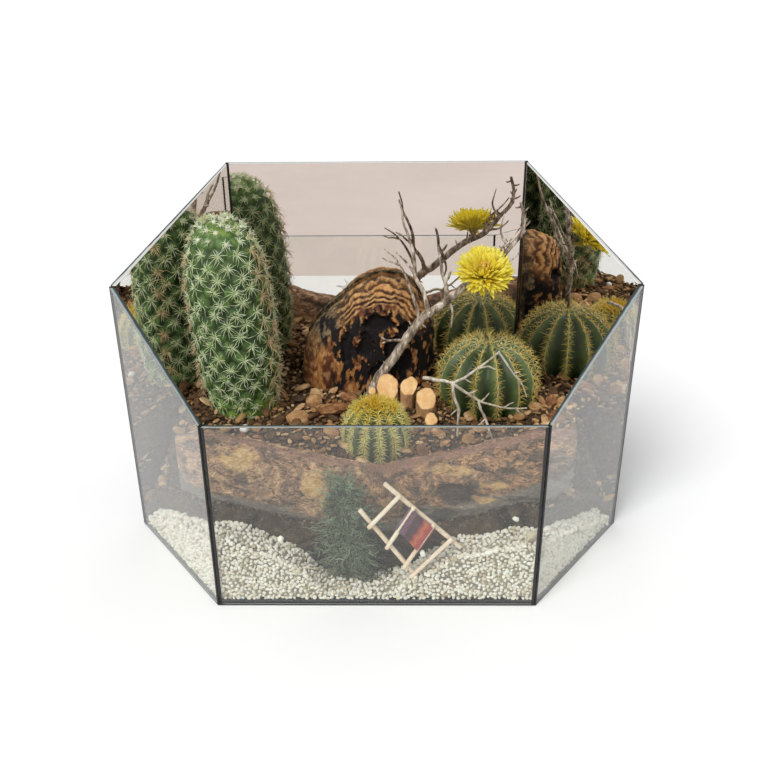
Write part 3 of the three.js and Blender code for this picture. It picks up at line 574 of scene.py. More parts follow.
def makeSoil():
    earth = natural("pottingSoil", [(0.3, "#35271a"), (0.55, "#57442f"), (0.75, "#7f6a4e")], 6, 1.1, 1.0,
                    0.9, contrast=0.6)
    crumb = natural("soilCrumbs", [(0.3, "#6b5742"), (0.7, "#9a8264")], 5, 0.9, 0.95, 0.5, shade=0.95,
                    shadeStops=[(0.0, "#4f4032"), (0.4, "#ab9679"), (0.75, "#eadfc9"), (1.0, "#fffaf0")],
                    contrast=0.4)
    chip = natural("barkMulch", [(0.3, "#a07c55"), (0.5, "#c8a67c"), (0.7, "#e6cfac")], 8, 1.0, 0.9, 0.6,
                   stretch=(1, 1, 2.5), shade=0.95,
                   shadeStops=[(0.0, "#453425"), (0.3, "#92775a"), (0.6, "#d8c3a3"), (1.0, "#fffaf0")],
                   contrast=0.45)
    finishPiece(sunkBed("soil_bed", ground["soilSunk"]), "soil_ground", [earth], "dark_soil", ["soil_bed"])
    packed = natural("packedEarth", [(0.3, "#6a5f56"), (0.7, "#93877b")], 5, 0.8, 0.95, 0.5, shade=0.95,
                     shadeStops=[(0.0, "#4c443f"), (0.5, "#a2968b"), (1.0, "#f4ede4")], contrast=0.4)
    rng = random.Random(8)
    wall = spotsOn("soil_bed", ground["wallGap"], 15,
                   lambda p, n: n.z <= 0.4 and p.y < -45 and abs(p.x) < 110)  # the cut face at the front
    crumbs = spotsOn("soil_bed", ground["crumbGap"], 5, lambda p, n: n.z > 0.0 or abs(p.x) > 100)

    def makeCrumb(part, layer, item):
        place, normal = item
        size = rng.uniform(*ground["crumb"])
        addPebble(part, layer, place - normal * size * (0.2 if normal.z > 0.4 else 1.0), size,
                  rng.random() ** 1.4, rng, 0.25, (1, rng.uniform(0.6, 1), rng.uniform(0.5, 0.9)))

    finishPiece(inBatches(crumbs, makeCrumb), "soil_crumbs", [crumb], "dark_soil", smooth=False)
    finishPiece(inBatches(wall, makeCrumb), "soil_wall", [packed], "dark_soil", smooth=False)
    chips = [(place, rng.uniform(*ground["chip"])) for place, _ in
             spotsOn("soil_bed", ground["chipGap"], 6, lambda p, n: n.z > 0.5 and p.y > -46)]
    broad = spotsOn("soil_bed", ground["bigChipGap"], 7, lambda p, n: n.z > 0.6 and -30 < p.y < 50)
    chips += [(place + up * 0.8, rng.uniform(*ground["bigChip"])) for place, _ in broad[:ground["bigChips"]]]

    def makeChip(part, layer, item):
        place, size = item
        tilt = Vector((rng.uniform(-0.5, 0.5), rng.uniform(-0.6, 0.3), 1))
        turn = aim(place + Vector((0, 0, size * 0.2)), tilt) @ Matrix.Rotation(rng.uniform(0, 6.28), 4, "Z")
        shape = Matrix.Diagonal((size, size * rng.uniform(0.4, 0.75), size * rng.uniform(0.2, 0.38), 1))
        made = bmesh.ops.create_icosphere(part, subdivisions=2 if size > 3.5 else 1, radius=1,
                                          matrix=turn @ shape)
        shade = rng.random() ** 1.1
        for vert in made["verts"]:
            vert.co += Vector([rng.uniform(-0.12, 0.12) * min(size, 2.4) for _ in range(3)])
            vert[layer] = shade

    finishPiece(inBatches(chips, makeChip), "soil_chips", [chip], "bark", smooth=False)
    print("soil crumbs and chips:", len(crumbs), len(chips))


makeGravel()
makeSoil()


# Cacti
def profileTable(shape, steps=160):
    # Radius, height and slope at equal steps along a profile from its foot to its crown.
    points = [shape(i / steps) for i in range(steps + 1)]
    lengths = [0.0]
    for (r0, z0), (r1, z1) in zip(points, points[1:]):
        lengths.append(lengths[-1] + math.hypot(r1 - r0, z1 - z0))
    total = lengths[-1]

    def find(s):
        s = min(max(s, 0.0), total)
        k = min(max(bisect.bisect(lengths, s) - 1, 0), steps - 1)
        t = (s - lengths[k]) / max(lengths[k + 1] - lengths[k], 1e-9)
        (r0, z0), (r1, z1) = points[k], points[k + 1]
        rise = Vector((z1 - z0, 0, r0 - r1)).normalized()
        return blend(r0, r1, t), blend(z0, z1, t), rise.x, rise.z

    return find, total


def onCactus(centre, find, angle, s, lift=0.0):
    radius, z, out, rise = find(s)
    c, n = math.cos(angle), math.sin(angle)
    reach = radius + lift * out
    return (Vector((centre[0] + c * reach, centre[1] + n * reach, z + lift * rise)),
            Vector((c * out, n * out, rise)))


tall = {"centre": (-96.5, 37.3), "lean": -0.06, "foot": 67, "top": 214.5, "radius": 26.6, "shoulder": 77,
        "waist": 0.24, "columns": 12, "firstRow": 7.0, "rowGap": 7.7, "wart": 2.1, "wartWidth": 5.4,
        "spines": 14, "spineLength": (5.6, 8.6), "spineWidth": 0.26, "middleSpine": (3.4, 5)}


def tallShape(t):
    z = blend(tall["foot"], tall["top"], 1 - (1 - t) ** 1.15)
    fromTop = min(1.0, (tall["top"] - z) / tall["shoulder"])
    shoulder = math.sqrt(max(0.0, 1 - (1 - fromTop) ** 3.46))
    waist = 1 - tall["waist"] * max(0.0, 1 - (z - tall["foot"]) / 50)
    return tall["radius"] * shoulder * waist, z


def onTall(find, angle, s, lift):  # the cactus leans a little to the left
    place, normal = onCactus(tall["centre"], find, angle, s, lift)
    place.x += tall["lean"] * (place.z - 140)
    return place, normal


def makeTallCactus():
    skin = natural("cactusSkin", [(0.3, "#4f6b36"), (0.5, "#6c894c"), (0.7, "#90aa64")], 6, 1.1, 0.5, 0.3,
                   stretch=(1.4, 1.4, 0.6), shade=1.0,
                   shadeStops=[(0.0, "#39462f"), (0.3, "#87977a"), (0.55, "#dde6cf"), (0.75, "#fdf7b0"),
                               (1.0, "#fbec70")], contrast=0.4, soft=0.04)
    wool = natural("areoleWool", [(0.3, "#ece8d8"), (0.7, "#faf8ee")], 3, 0.6, 1.0, 0.3, sheen=0.4,
                   shade=1.0, shadeStops=[(0.0, "#8f9468"), (0.5, "#e8dcc2"), (1.0, "#ffffff")])
    spineMat = natural("creamSpines", [(0.3, "#e3e7c8"), (0.7, "#f7f9e6")], 9, 1.0, 0.5, 0.0, shade=1.0,
                       shadeStops=[(0.0, "#cfa184"), (0.25, "#f2d3b8"), (0.5, "#dfe8c2"), (0.8, "#f6fae6"),
                                   (1.0, "#ffffff")], contrast=0.1, soft=0.1)
    find, total = profileTable(tallShape)
    columns, rowGap, startS = tall["columns"], tall["rowGap"], tall["firstRow"]
    rows = int((total - startS) / rowGap)

    def nearest(angle, s):  # the distance to the nearest wart's middle, over the skin
        best = 99.0
        radius = max(find(s)[0], 1.0)
        row = round((s - startS) / rowGap)
        for k in (row - 1, row, row + 1):
            offset = 0.5 * (k % 2)
            column = round(angle / (2 * math.pi) * columns - offset)
            gap = (angle - (column + offset) * 2 * math.pi / columns) * radius
            best = min(best, math.hypot(gap * 0.8, s - startS - k * rowGap))
        return best

    def skinAt(u, v):
        angle, s = u * 2 * math.pi, v * total
        distance = nearest(angle, s)
        radius = find(s)[0]
        bump = max(0.0, 1 - (distance / tall["wartWidth"]) ** 2) ** 0.7
        wart = tall["wart"] * min(1.0, radius / 14) * (1 + 0.35 * wave((angle * 9, s, 5), 9, 2))
        place, _ = onTall(find, angle, s, wart * (bump - 0.5))
        place += Vector((0.6, 0.6, 0.3)) * wave(place, 6, 4)
        low = 1 - fade(70, 104, place.z)
        crown = fade(200, 212, place.z)
        streak = 0.12 * wave((angle * 30, s * 0.5, 0), 7, 3)
        # painted shade: darker in the creases between the warts and lighter on their tops, lighter still on
        # the warts near the crown; the yellow toward the foot and the streaks are the skin's own colour
        shade = 0.12 + 0.36 * bump + 0.5 * low * (0.8 + 0.5 * bump) + 0.3 * crown * bump + streak
        return place, (clip(shade),)

    body = wrapGrid(180, 190, skinAt)
    finishPiece(body, "tall_cactus_body", [skin], "cactus_green", ["tall_cactus"], weld=0.01)

    rng = random.Random(12)
    areoles = []
    for row in range(rows + 1):
        s = startS + row * rowGap
        radius = find(s)[0]
        step = 1 if radius > 12 else 2 if radius > 5 else 4
        for column in range(0, columns if radius > 3 else 1, step):
            angle = (column + 0.5 * (row % 2)) * 2 * math.pi / columns + rng.uniform(-0.07, 0.07)
            areoles.append((angle, s + rng.uniform(-1.3, 1.3)))
    areoles += [(rng.uniform(0, 6.28), rng.uniform(0.9, 1) * (total - 2)) for _ in range(10)]

    def makeAreole(part, layer, item):
        angle, s = item
        top = fade(188, 206, find(s)[1])
        place, normal = onTall(find, angle, s, tall["wart"] * 0.5)
        size = blend(0.5, 1.25, top) * rng.uniform(0.6, 1.3)
        made = bmesh.ops.create_uvsphere(part, u_segments=7, v_segments=5, radius=size,
                                         matrix=aim(place, normal) @ Matrix.Diagonal((1, 1, 0.8, 1)))
        setShade(made, layer, rng.uniform(0.0, 0.35) + 0.65 * top)

    finishPiece(inBatches(areoles, makeAreole), "tall_cactus_wool", [wool], "cactus_green")

    def makeStar(part, layer, item):
        angle, s = item
        z = find(s)[1]
        place, normal = onTall(find, angle, s, tall["wart"] * 0.5)
        side = Vector((-math.sin(angle), math.cos(angle), 0))
        rise = normal.cross(side)
        top, low = fade(190, 208, z), 1 - fade(74, 104, z)
        flank = fade(0.7, 0.9, math.cos(angle)) + fade(0.88, 0.97, -math.cos(angle))
        flank *= 1 - fade(-0.15, 0.06, math.sin(angle))  # denser, browner spines at both sides
        rear = fade(0.1, 0.4, math.sin(angle))
        size = rng.uniform(0.8, 1.15) * (1 - 0.25 * low)
        count = tall["spines"] + rng.choice((-2, -1, 0, 1)) + round(8 * flank - 1 * top)
        begin = rng.uniform(0, 6.28)
        for k in range(count):
            turn = begin + k * 2 * math.pi / count + rng.uniform(-0.2, 0.2)
            outward = blend(rng.uniform(0.05, 0.5), rng.uniform(0.7, 1.8), top) + rng.uniform(0, 0.7) * flank
            heading = side * math.cos(turn) + rise * math.sin(turn) + normal * outward
            length = rng.uniform(*tall["spineLength"]) * size * (1.15 if math.sin(turn) < 0 else 0.95)
            length *= (1 + 0.2 * flank) * (1 - 0.3 * top)
            shade = clip(rng.gauss(0.68, 0.13) - 0.15 * low + 0.3 * top - 0.5 * flank - 0.16 * rear)
            curl = randomWay(rng, 0.7)
            addSpine(part, layer, place - normal * 0.3, heading, length, tall["spineWidth"], shade,
                     curl - up * 0.25 - normal * rng.uniform(0.0, 0.5))
        for _ in range(2):
            heading = normal + Vector((0, 0, rng.uniform(-0.9, 0.5))) + side * rng.uniform(-0.5, 0.5)
            addSpine(part, layer, place - normal * 0.3, heading, rng.uniform(*tall["middleSpine"]),
                     tall["spineWidth"], rng.uniform(0.2, 0.65) if flank > 0.3 else rng.uniform(0.5, 0.8))

    finishPiece(inBatches(areoles, makeStar, 12), "tall_cactus_spines", [spineMat], "cactus_green")
    print("tall cactus areoles:", len(areoles))


makeTallCactus()


def ballShape(size):
    foot, top = size["foot"], size["top"]
    middle = (top + foot) / 2 - size["flatten"]
    lowest = 1.05  # the angle under the middle at which the foot ends

    def shape(t):
        angle = blend(-lowest, math.pi / 2, t)
        radius = size["radius"] * math.cos(angle) ** 0.8 if t < 1 else 0.0
        if angle > 0:
            return radius, middle + (top - middle) * math.sin(angle)
        return radius, middle + (middle - foot) * math.sin(angle) / math.sin(lowest)

    return shape


def ribbedBody(size, skin):
    find, total = profileTable(ballShape(size))
    ribs = size["ribs"]

    def skinAt(u, v):
        angle, s = u * 2 * math.pi, v * total
        radius = find(s)[0]
        depth = size["ribDepth"] * min(1.0, radius / (size["radius"] * 0.45)) * fade(0, 0.3, 1.06 - v)
        swing = abs(math.sin(angle * ribs / 2))  # 0 on a crest, 1 in a furrow
        lift = depth * (0.4 - swing ** size["ribRound"])
        place, _ = onCactus(size["centre"], find, angle, s, lift)
        place += Vector((0.2, 0.2, 0.1)) * wave(place, 8, 2)
        crest = 1 - fade(0.03, size["crest"], swing)
        return place, (crest, swing)

    body = wrapGrid(size["around"], 90, skinAt, ("crest", "furrow"))
    finishPiece(body, size["name"] + "_body", [skin], size["slot"], [size["name"]], weld=0.01)
    return find, total


def ribSkin(name, stops, felt):
    # Waxy ribs, with painted shade darkening the furrows, and a felted line of wool along each crest.
    mat = newMaterial(name)
    place = coordinates(mat)
    patches = addNode(mat, "TexNoise", {"Vector": place, "Scale": 1000 / 12, "Detail": 4.0})
    colour = addNode(mat, "ValToRGB", {"Fac": patches}, stops)
    furrow = addNode(mat, "Attribute", attribute_name="furrow").outputs["Fac"]
    # painted shade: darker down in the furrows between the ribs
    depth = addNode(mat, "ValToRGB", {"Fac": furrow}, [(0.0, "#f4f7e4"), (0.35, "#ffffff"),
                                                       (1.0, "#7d8a72")])
    colour = addNode(mat, "Mix", {0: 1.0, 6: colour, 7: depth}, data_type="RGBA", blend_type="MULTIPLY")
    crest = addNode(mat, "Attribute", attribute_name="crest").outputs["Fac"]
    fuzz = addNode(mat, "TexNoise", {"Vector": place, "Scale": 1000 / 1.2, "Detail": 4.0})
    edge = addNode(mat, "MapRange", {"Value": fuzz, "From Min": 0.3, "From Max": 0.6, "To Min": 0.35,
                                     "To Max": 1.0})
    line = addNode(mat, "Math", {0: crest, 1: edge}, operation="MULTIPLY")
    wool = addNode(mat, "ValToRGB", {"Fac": fuzz}, felt)
    colour = addNode(mat, "Mix", {0: line, 6: colour.outputs[2], 7: wool}, data_type="RGBA")
    relief = addNode(mat, "Bump", {"Height": fuzz, "Distance": 0.2 * mm})
    surface = addNode(mat, "BsdfPrincipled", {"Base Color": colour.outputs[2], "Roughness": 0.5,
                                              "Specular IOR Level": 0.4, "Normal": relief,
                                              "Subsurface Weight": 0.06, "Subsurface Scale": 0.002})
    addNode(mat, "OutputMaterial", {"Surface": surface})
    return mat


def ribAreoles(size, total, rng):  # along each rib, further apart near the crown
    spots, gap = [], size["areoleGap"]
    for rib in range(size["ribs"]):
        s = total * 0.12 + rng.uniform(0, gap)
        while s < total * 0.97:
            spots.append((rib * 2 * math.pi / size["ribs"], s))
            s += gap * rng.uniform(0.85, 1.15) * (1 + 1.1 * fade(0.72, 0.95, s / total))
    return spots


barrel = {"name": "barrel_cactus", "slot": "barrel_green", "centre": (77, 44.5), "foot": 66, "top": 123,
          "flatten": -2, "radius": 32.5, "ribs": 13, "ribDepth": 4.6, "ribRound": 0.9, "crest": 0.18,
          "areoleGap": 4.6, "spines": 8, "spineLength": (4.2, 8.0), "spineWidth": 0.23, "spread": 0.8,
          "goldenTop": -0.35, "combed": 0.8, "crownLength": 0.85, "around": 260, "seed": 21}
small = {"name": "small_cactus", "slot": "small_green", "centre": (-0.6, 3.7), "foot": 53, "top": 96,
         "flatten": -1, "radius": 21, "ribs": 13, "ribDepth": 1.9, "ribRound": 1.0, "crest": 0.11,
         "areoleGap": 2.5, "spines": 10, "spineLength": (3.8, 7.0), "spineWidth": 0.28, "spread": 1.2,
         "goldenTop": 0.5, "combed": 0.0, "crownLength": 1.5, "around": 200, "seed": 22}
# combed says how far the crown's spines lie along the ribs


def makeRibbedCactus(size, skin, woolMat, spineMat):
    find, total = ribbedBody(size, skin)
    name, slot, count = size["name"], size["slot"], size["spines"]
    rng = random.Random(size["seed"])
    areoles = ribAreoles(size, total, rng)

    def lift(s):
        return size["ribDepth"] * 0.4 * min(1.0, find(s)[0] / (size["radius"] * 0.45))

    def makeWool(part, layer, item):
        angle, s = item
        place, normal = onCactus(size["centre"], find, angle, s, lift(s) - 0.1)
        made = bmesh.ops.create_icosphere(part, subdivisions=1, radius=rng.uniform(0.4, 0.65),
                                          matrix=aim(place, normal) @ Matrix.Diagonal((1, 1, 0.6, 1)))
        setShade(made, layer, rng.random())

    finishPiece(inBatches(areoles, makeWool), name + "_wool", [woolMat], slot)

    def makeSpines(part, layer, item):
        angle, s = item
        place, normal = onCactus(size["centre"], find, angle, s, lift(s))
        side = Vector((-math.sin(angle), math.cos(angle), 0))
        rise = normal.cross(side)
        top = fade(0.62, 0.95, s / total)
        combed = size["combed"] * top
        for k in range(count):
            turn = (k + rng.uniform(-0.3, 0.3)) * 2 * math.pi / count
            heading = (side * math.cos(turn) * size["spread"] * (1 - combed)
                       + rise * math.sin(turn) * (0.75 + 0.8 * combed)
                       + normal * rng.uniform(0.35, 1.1) * (1 + 0.6 * top) * (1 - 0.45 * combed))
            length = rng.uniform(*size["spineLength"]) * blend(1.0, size["crownLength"], top)
            shade = clip(rng.gauss(0.6, 0.2) - size["goldenTop"] * top)
            outward = Vector((math.cos(angle), math.sin(angle), 0)) * 0.7 * top
            addSpine(part, layer, place - normal * 0.3, heading, length, size["spineWidth"], shade,
                     outward - up * rng.uniform(0.0, 0.35))

    finishPiece(inBatches(areoles, makeSpines, 12), name + "_spines", [spineMat], slot)
    print(name, "areoles:", len(areoles))


def makeBallCacti():
    goldWool = natural("goldenFelt", [(0.3, "#c9a94a"), (0.7, "#e2cb7a")], 3, 0.6, 1.0, 0.2, sheen=0.3,
                       shade=1.0, shadeStops=[(0.0, "#b8a271"), (0.6, "#f3e9c8"), (1.0, "#ffffff")])
    goldSpine = natural("goldenSpines", [(0.3, "#e0c872"), (0.7, "#f6e8a8")], 9, 1.0, 0.45, 0.0, shade=1.0,
                        shadeStops=[(0.0, "#b08a48"), (0.4, "#ecdaa4"), (0.8, "#fff8d8"), (1.0, "#ffffff")],
                        contrast=0.1, soft=0.1)
    skin = ribSkin("barrelSkin", [(0.3, "#42532f"), (0.5, "#53653b"), (0.7, "#6b7a48")],
                   [(0.3, "#cbbb80"), (0.7, "#f6edc4")])
    makeRibbedCactus(barrel, skin, goldWool, goldSpine)
    paleSpine = natural("yellowSpines", [(0.3, "#efe598"), (0.7, "#faf4c8")], 9, 1.0, 0.45, 0.0, shade=1.0,
                        shadeStops=[(0.0, "#f0c63a"), (0.25, "#f6de74"), (0.55, "#faf5cc"),
                                    (1.0, "#ffffff")], contrast=0.1, soft=0.1)
    paleSkin = ribSkin("smallCactusSkin", [(0.3, "#525f36"), (0.5, "#69763f"), (0.7, "#8a9453")],
                       [(0.3, "#b9b068"), (0.7, "#e6e0a4")])
    makeRibbedCactus(small, paleSkin, goldWool, paleSpine)


makeBallCacti()


# The flower
flower = {"centre": (70.5, 36.5, 176), "facing": (-0.02, -0.51, 0.86), "foot": (71.2, 45.3, 173.1),
          "whorls": ((42, 19.0, 0.22, 2.6), (42, 19.6, 0.35, 2.6), (40, 19.4, 0.48, 2.5),
                     (37, 19.0, 0.61, 2.4), (33, 18.4, 0.74, 2.3), (28, 17.4, 0.87, 2.2),
                     (23, 16.2, 1.0, 2.1), (17, 14.6, 1.13, 2.0), (10, 12.8, 1.28, 1.9)),
          "thickness": 0.2, "florets": 26, "discRadius": 3.0}  # whorls: petals, length, rise and width


def makeFlower():
    # The petals are dry and papery, and light comes through them.
    petal = natural("strawflowerBract", [(0.3, "#fff050"), (0.5, "#fff664"), (0.7, "#fffb9c")], 5, 0.7, 0.5,
                    0.1, shade=1.0, shadeStops=[(0.0, "#ffdc8c"), (0.12, "#fff2c4"), (0.35, "#fffdf2"),
                                                (1.0, "#ffffff")], contrast=0.03, through=0.4)
    centreMat = natural("floretDisc", [(0.3, "#d9a43c"), (0.7, "#f0cf6c")], 2, 0.5, 0.9, 0.3, contrast=0.4)
    stalkMat = natural("flowerStalk", [(0.3, "#8a7a3a"), (0.7, "#b3a44e")], 4, 0.9, 0.8, 0.2)
    rng = random.Random(31)
    facing = Vector(flower["facing"]).normalized()
    base = aim(Vector(flower["centre"]), facing)
    petals = []
    for count, length, rise, wide in flower["whorls"]:
        begin = rng.uniform(0, 6.28)
        for k in range(count):
            petals.append((begin + (k + rng.uniform(-0.35, 0.35)) * 2 * math.pi / count,
                           length * rng.uniform(0.88, 1.06), rise + rng.uniform(-0.1, 0.1),
                           wide * rng.uniform(0.8, 1.15), rng.random()))

    def makePetal(part, layer, item):
        turn, length, rise, wide, shade = item
        made = bmesh.ops.create_grid(part, x_segments=9, y_segments=2, size=0.5)
        curl, twist = rng.uniform(-0.16, 0.2), rng.uniform(-0.4, 0.4)
        for vert in made["verts"]:
            t, side = vert.co.x + 0.5, vert.co.y * 2
            width = wide * min(1.0, 0.4 + 1.6 * t) * max(0.0, 1 - t ** 8) ** 0.7
            angle = rise + curl * t * t
            reach, lift = 1.2 + length * t * math.cos(angle), length * t * math.sin(angle) - 1.0
            lift += 0.35 * side * side * math.cos(rise) + twist * side * t * 0.6
            reach -= 0.3 * side * side * math.sin(rise)
            vert.co = base @ Matrix.Rotation(turn, 4, "Z") @ Vector((reach, side * width / 2, lift))
            # deeper toward each petal's base: partly the bract's own deeper yellow, partly painted shade
            # deep in the flower head; the random part is each petal's own tone
            vert[layer] = (0.06 + 0.94 * t ** 0.8) * (0.8 + 0.2 * shade)

    piece = finishPiece(inBatches(petals, makePetal, 16), "flower_petals", [petal], "yellow_petal",
                        ["flower"])
    thick = piece.modifiers.new("thickness", "SOLIDIFY")
    thick.thickness, thick.offset = flower["thickness"] * mm, 0

    def makeFloret(part, layer, item):
        r = flower["discRadius"] * math.sqrt((item + 0.5) / flower["florets"])
        place = base @ Vector((r * math.cos(item * 2.4), r * math.sin(item * 2.4), 7.5 - r * r * 0.2))
        made = bmesh.ops.create_cone(part, cap_ends=True, segments=5, radius1=0.5, radius2=0.3, depth=10,
                                     matrix=aim(place, facing + Vector((rng.uniform(-0.2, 0.2), 0, 0))))
        for vert in made["verts"]:
            vert[layer] = rng.random()

    finishPiece(inBatches(list(range(flower["florets"])), makeFloret), "flower_florets", [centreMat],
                "yellow_petal")

    def makeCup(part, layer, item):
        addStick(part, layer, [flower["foot"], base @ Vector((0, 0, -4.6)), base @ Vector((0, 0, -2)),
                               base @ Vector((0, 0, 0.8))], (1.1, 3.6), sides=12, steps=5)

    finishPiece(inBatches([0], makeCup), "flower_cup", [stalkMat], "yellow_petal")


makeFlower()
print("flower is made")


# Branch and twigs
branch = {
    "stem": ((-6, 42.6, 74), (-4, 42.6, 86), (1.8, 42.7, 99), (12, 43, 113.5), (19.5, 43.2, 126),
             (30.7, 44, 142), (41, 44.5, 149.5), (53, 45, 160), (65, 46.5, 169.5), (77, 49, 176),
             (86, 50, 187), (95.5, 51.5, 199), (96.5, 53, 209), (94, 54, 219)),
    "stemRadii": (4.2, 0.9),
    "twigs": (  # radius at the root and at the tip, then the points
        (1.7, 0.5, ((33, 44, 144), (34, 45.5, 150), (26.2, 55, 167.3), (24.5, 64, 183), (18, 71, 200),
                    (15, 75, 215))),
        (0.9, 0.4, ((26, 56, 168), (20, 60, 176), (13, 63, 182))),
        (1.5, 0.8, ((46, 45, 152), (47, 52, 161.3), (44.1, 57, 169.7), (41.4, 64, 185))),
        (1.0, 0.7, ((46, 54, 164), (49.9, 58, 171))),
        (0.9, 0.5, ((78, 49, 177), (87, 50, 180), (94.5, 50, 186))),
        (0.9, 0.4, ((76, 49, 175.5), (81.5, 48.5, 189), (89.6, 49, 197), (94, 50, 203))),
        (1.1, 0.4, ((19, 43.5, 125), (9, 40.5, 127), (1.5, 38, 132))),
        (0.8, 0.4, ((10, 40.8, 127), (3, 39, 125.5))),
        (1.0, 0.4, ((29, 44, 139), (24, 47, 158), (17.7, 55, 172), (11, 60, 180.5), (5, 62, 185))),
        (0.7, 0.4, ((15, 57, 175), (8, 60, 177), (3.5, 61, 179))),
        (0.9, 0.4, ((48, 44.5, 155), (51, 40, 146), (50, 37, 138))),
        (0.8, 0.4, ((88, 50, 189), (82, 53, 199), (84, 55, 211))),
    ),
    "knots": 34,
    "paleSpurs": (((84, -1, 97), (90, -1, 101)), ((92, 0, 96.4), (97, 1, 91)), ((60, 0, 107), (66, -2, 111)),
                  ((57, 1, 118), (62, 2, 114)), ((72, -3, 90), (66, -4, 84)), ((78, -6, 76), (84, -7, 70)),
                  ((68.6, -1, 101.5), (74, 1, 107)), ((88.9, 0, 121.7), (93, 0, 123)),
                  ((54.2, 0, 96), (49, 0, 91))),
    "paleArms": (
        (1.4, 0.6, ((31, 12, 112.8), (40, 6, 114), (49.9, 2, 114.1), (57, 1, 118), (66.4, 0, 126.1),
                    (79.5, 1, 137.5))),
        (0.8, 0.5, ((79, 1, 136.5), (88.9, 0, 121.7), (98.8, 1, 104))),
        (1.2, 0.8, ((49.9, 2, 114), (54.2, 0, 96), (54, -1, 80), (52, -2, 62))),
        (1.2, 0.5, ((50.5, 2, 113.5), (60, 0, 107), (68.6, -1, 101.5), (84, -1, 97), (99.6, 1, 95.7))),
        (1.0, 0.7, ((67, -1, 102), (72, -3, 90), (78, -6, 74), (79, -7, 62))),
        (0.8, 0.4, ((66.4, 0, 126), (72, -2, 128), (77, -3, 126))),
    ),
}


def crooked(points, rng):  # small kinks halfway between the points
    kinked = [Vector(points[0])]
    for a, b in zip(points, points[1:]):
        a, b = Vector(a), Vector(b)
        reach = (b - a).length * 0.05 + 0.25
        kinked += [a.lerp(b, 0.5) + randomWay(rng, reach), b]
    return kinked


def makeBranches():
    grey = natural("weatheredBranch", [(0.34, "#5b4d41"), (0.45, "#8f7f6f"), (0.54, "#bcae9d"),
                                       (0.64, "#e6ddd0")], 3.2, 0.9, 0.9, 0.5, stretch=(1, 1, 0.35),
                   turn=(0, -0.7, 0), contrast=0.5, shade=0.7,
                   shadeStops=[(0.0, "#8d8074"), (0.5, "#ebe4da"), (1.0, "#ffffff")])
    pale = natural("peeledTwig", [(0.3, "#8d7d69"), (0.45, "#b8aa96"), (0.6, "#d9d0c0"), (0.75, "#efe9dd")],
                   3.5, 0.8, 0.85, 0.3, stretch=(1, 1, 0.5), contrast=0.35)
    rng = random.Random(41)
    sticks = [(branch["stemRadii"], branch["stem"], 14, 0.22, 0.6)]
    sticks += [((a * 1.15, b), crooked(points, rng), 8, 0.2, 0.45 + 0.35 * rng.random())
               for a, b, points in branch["twigs"]]
    path = smoothPath(branch["stem"], 6)
    for _ in range(branch["knots"]):  # short spurs and broken twig ends
        place = rng.choice(path[14:])
        out = Vector((rng.uniform(-1, 1), rng.uniform(-1, 1), rng.uniform(-0.4, 1))).normalized()
        size = rng.uniform(3, 7)
        tip = place + out * size + Vector((0, 0, 0.8))
        sticks.append(((0.85, 0.35), (place, place + out * size * 0.6, tip), 5, 0.0, rng.random()))

    def make(part, layer, item):
        radii, points, sides, knobs, shade = item
        addStick(part, layer, points, radii, sides, 6, knobs, shade)

    finishPiece(inBatches(sticks, make, 2), "branch_wood", [grey], "driftwood", ["branch"])
    arms = [((a * 0.95, b * 0.9), crooked(points, rng), 8, 0.3, 0.5) for a, b, points in branch["paleArms"]]
    for root, tip in branch["paleSpurs"]:
        arms.append(((0.7, 0.3), crooked((root, tip), rng), 6, 0.2, 0.5))
    finishPiece(inBatches(arms, make, 2), "pale_twig_wood", [pale], "pale_twig_wood", ["pale_twig"])


makeBranches()
print("branches are made")


# The log
log = {"length": 122, "depth": 15.5, "height": 27, "middleY": -46, "middleZ": 51, "rise": 0.28,  # mm
       "around": 180, "lengthways": 360, "capShare": 0.03,  # steps, and the share that rounds each end
       "plate": 0.8, "crack": 0.5, "fibre": 0.5, "swell": 1.3, "rimHeight": 1.3, "hollow": 2.4,
       "knot": (51, 68.5, 15, 7.5, -0.22),  # x, z, half width and height, tilt
       "pale": ((-84, 92, 11, 6), (-39, 75, 8, 9), (-30, 64, 6, 5), (67, 65, 8, 2.6), (75, 76, 7, 2.4),
                (46, 84, 14, 3))}  # light patches: x, z, half width and height


def insideTank(place, inset=2.1):
    # Keeps a point inside the two slanting front side panes: 100 mm from the middle at the front pane,
    # 66 mm more at the side corners.
    limit = 100 + (place.y + 83.7) * 66 / 89.2 - inset * 1.244
    place.x = max(-limit, min(limit, place.x))
    return place


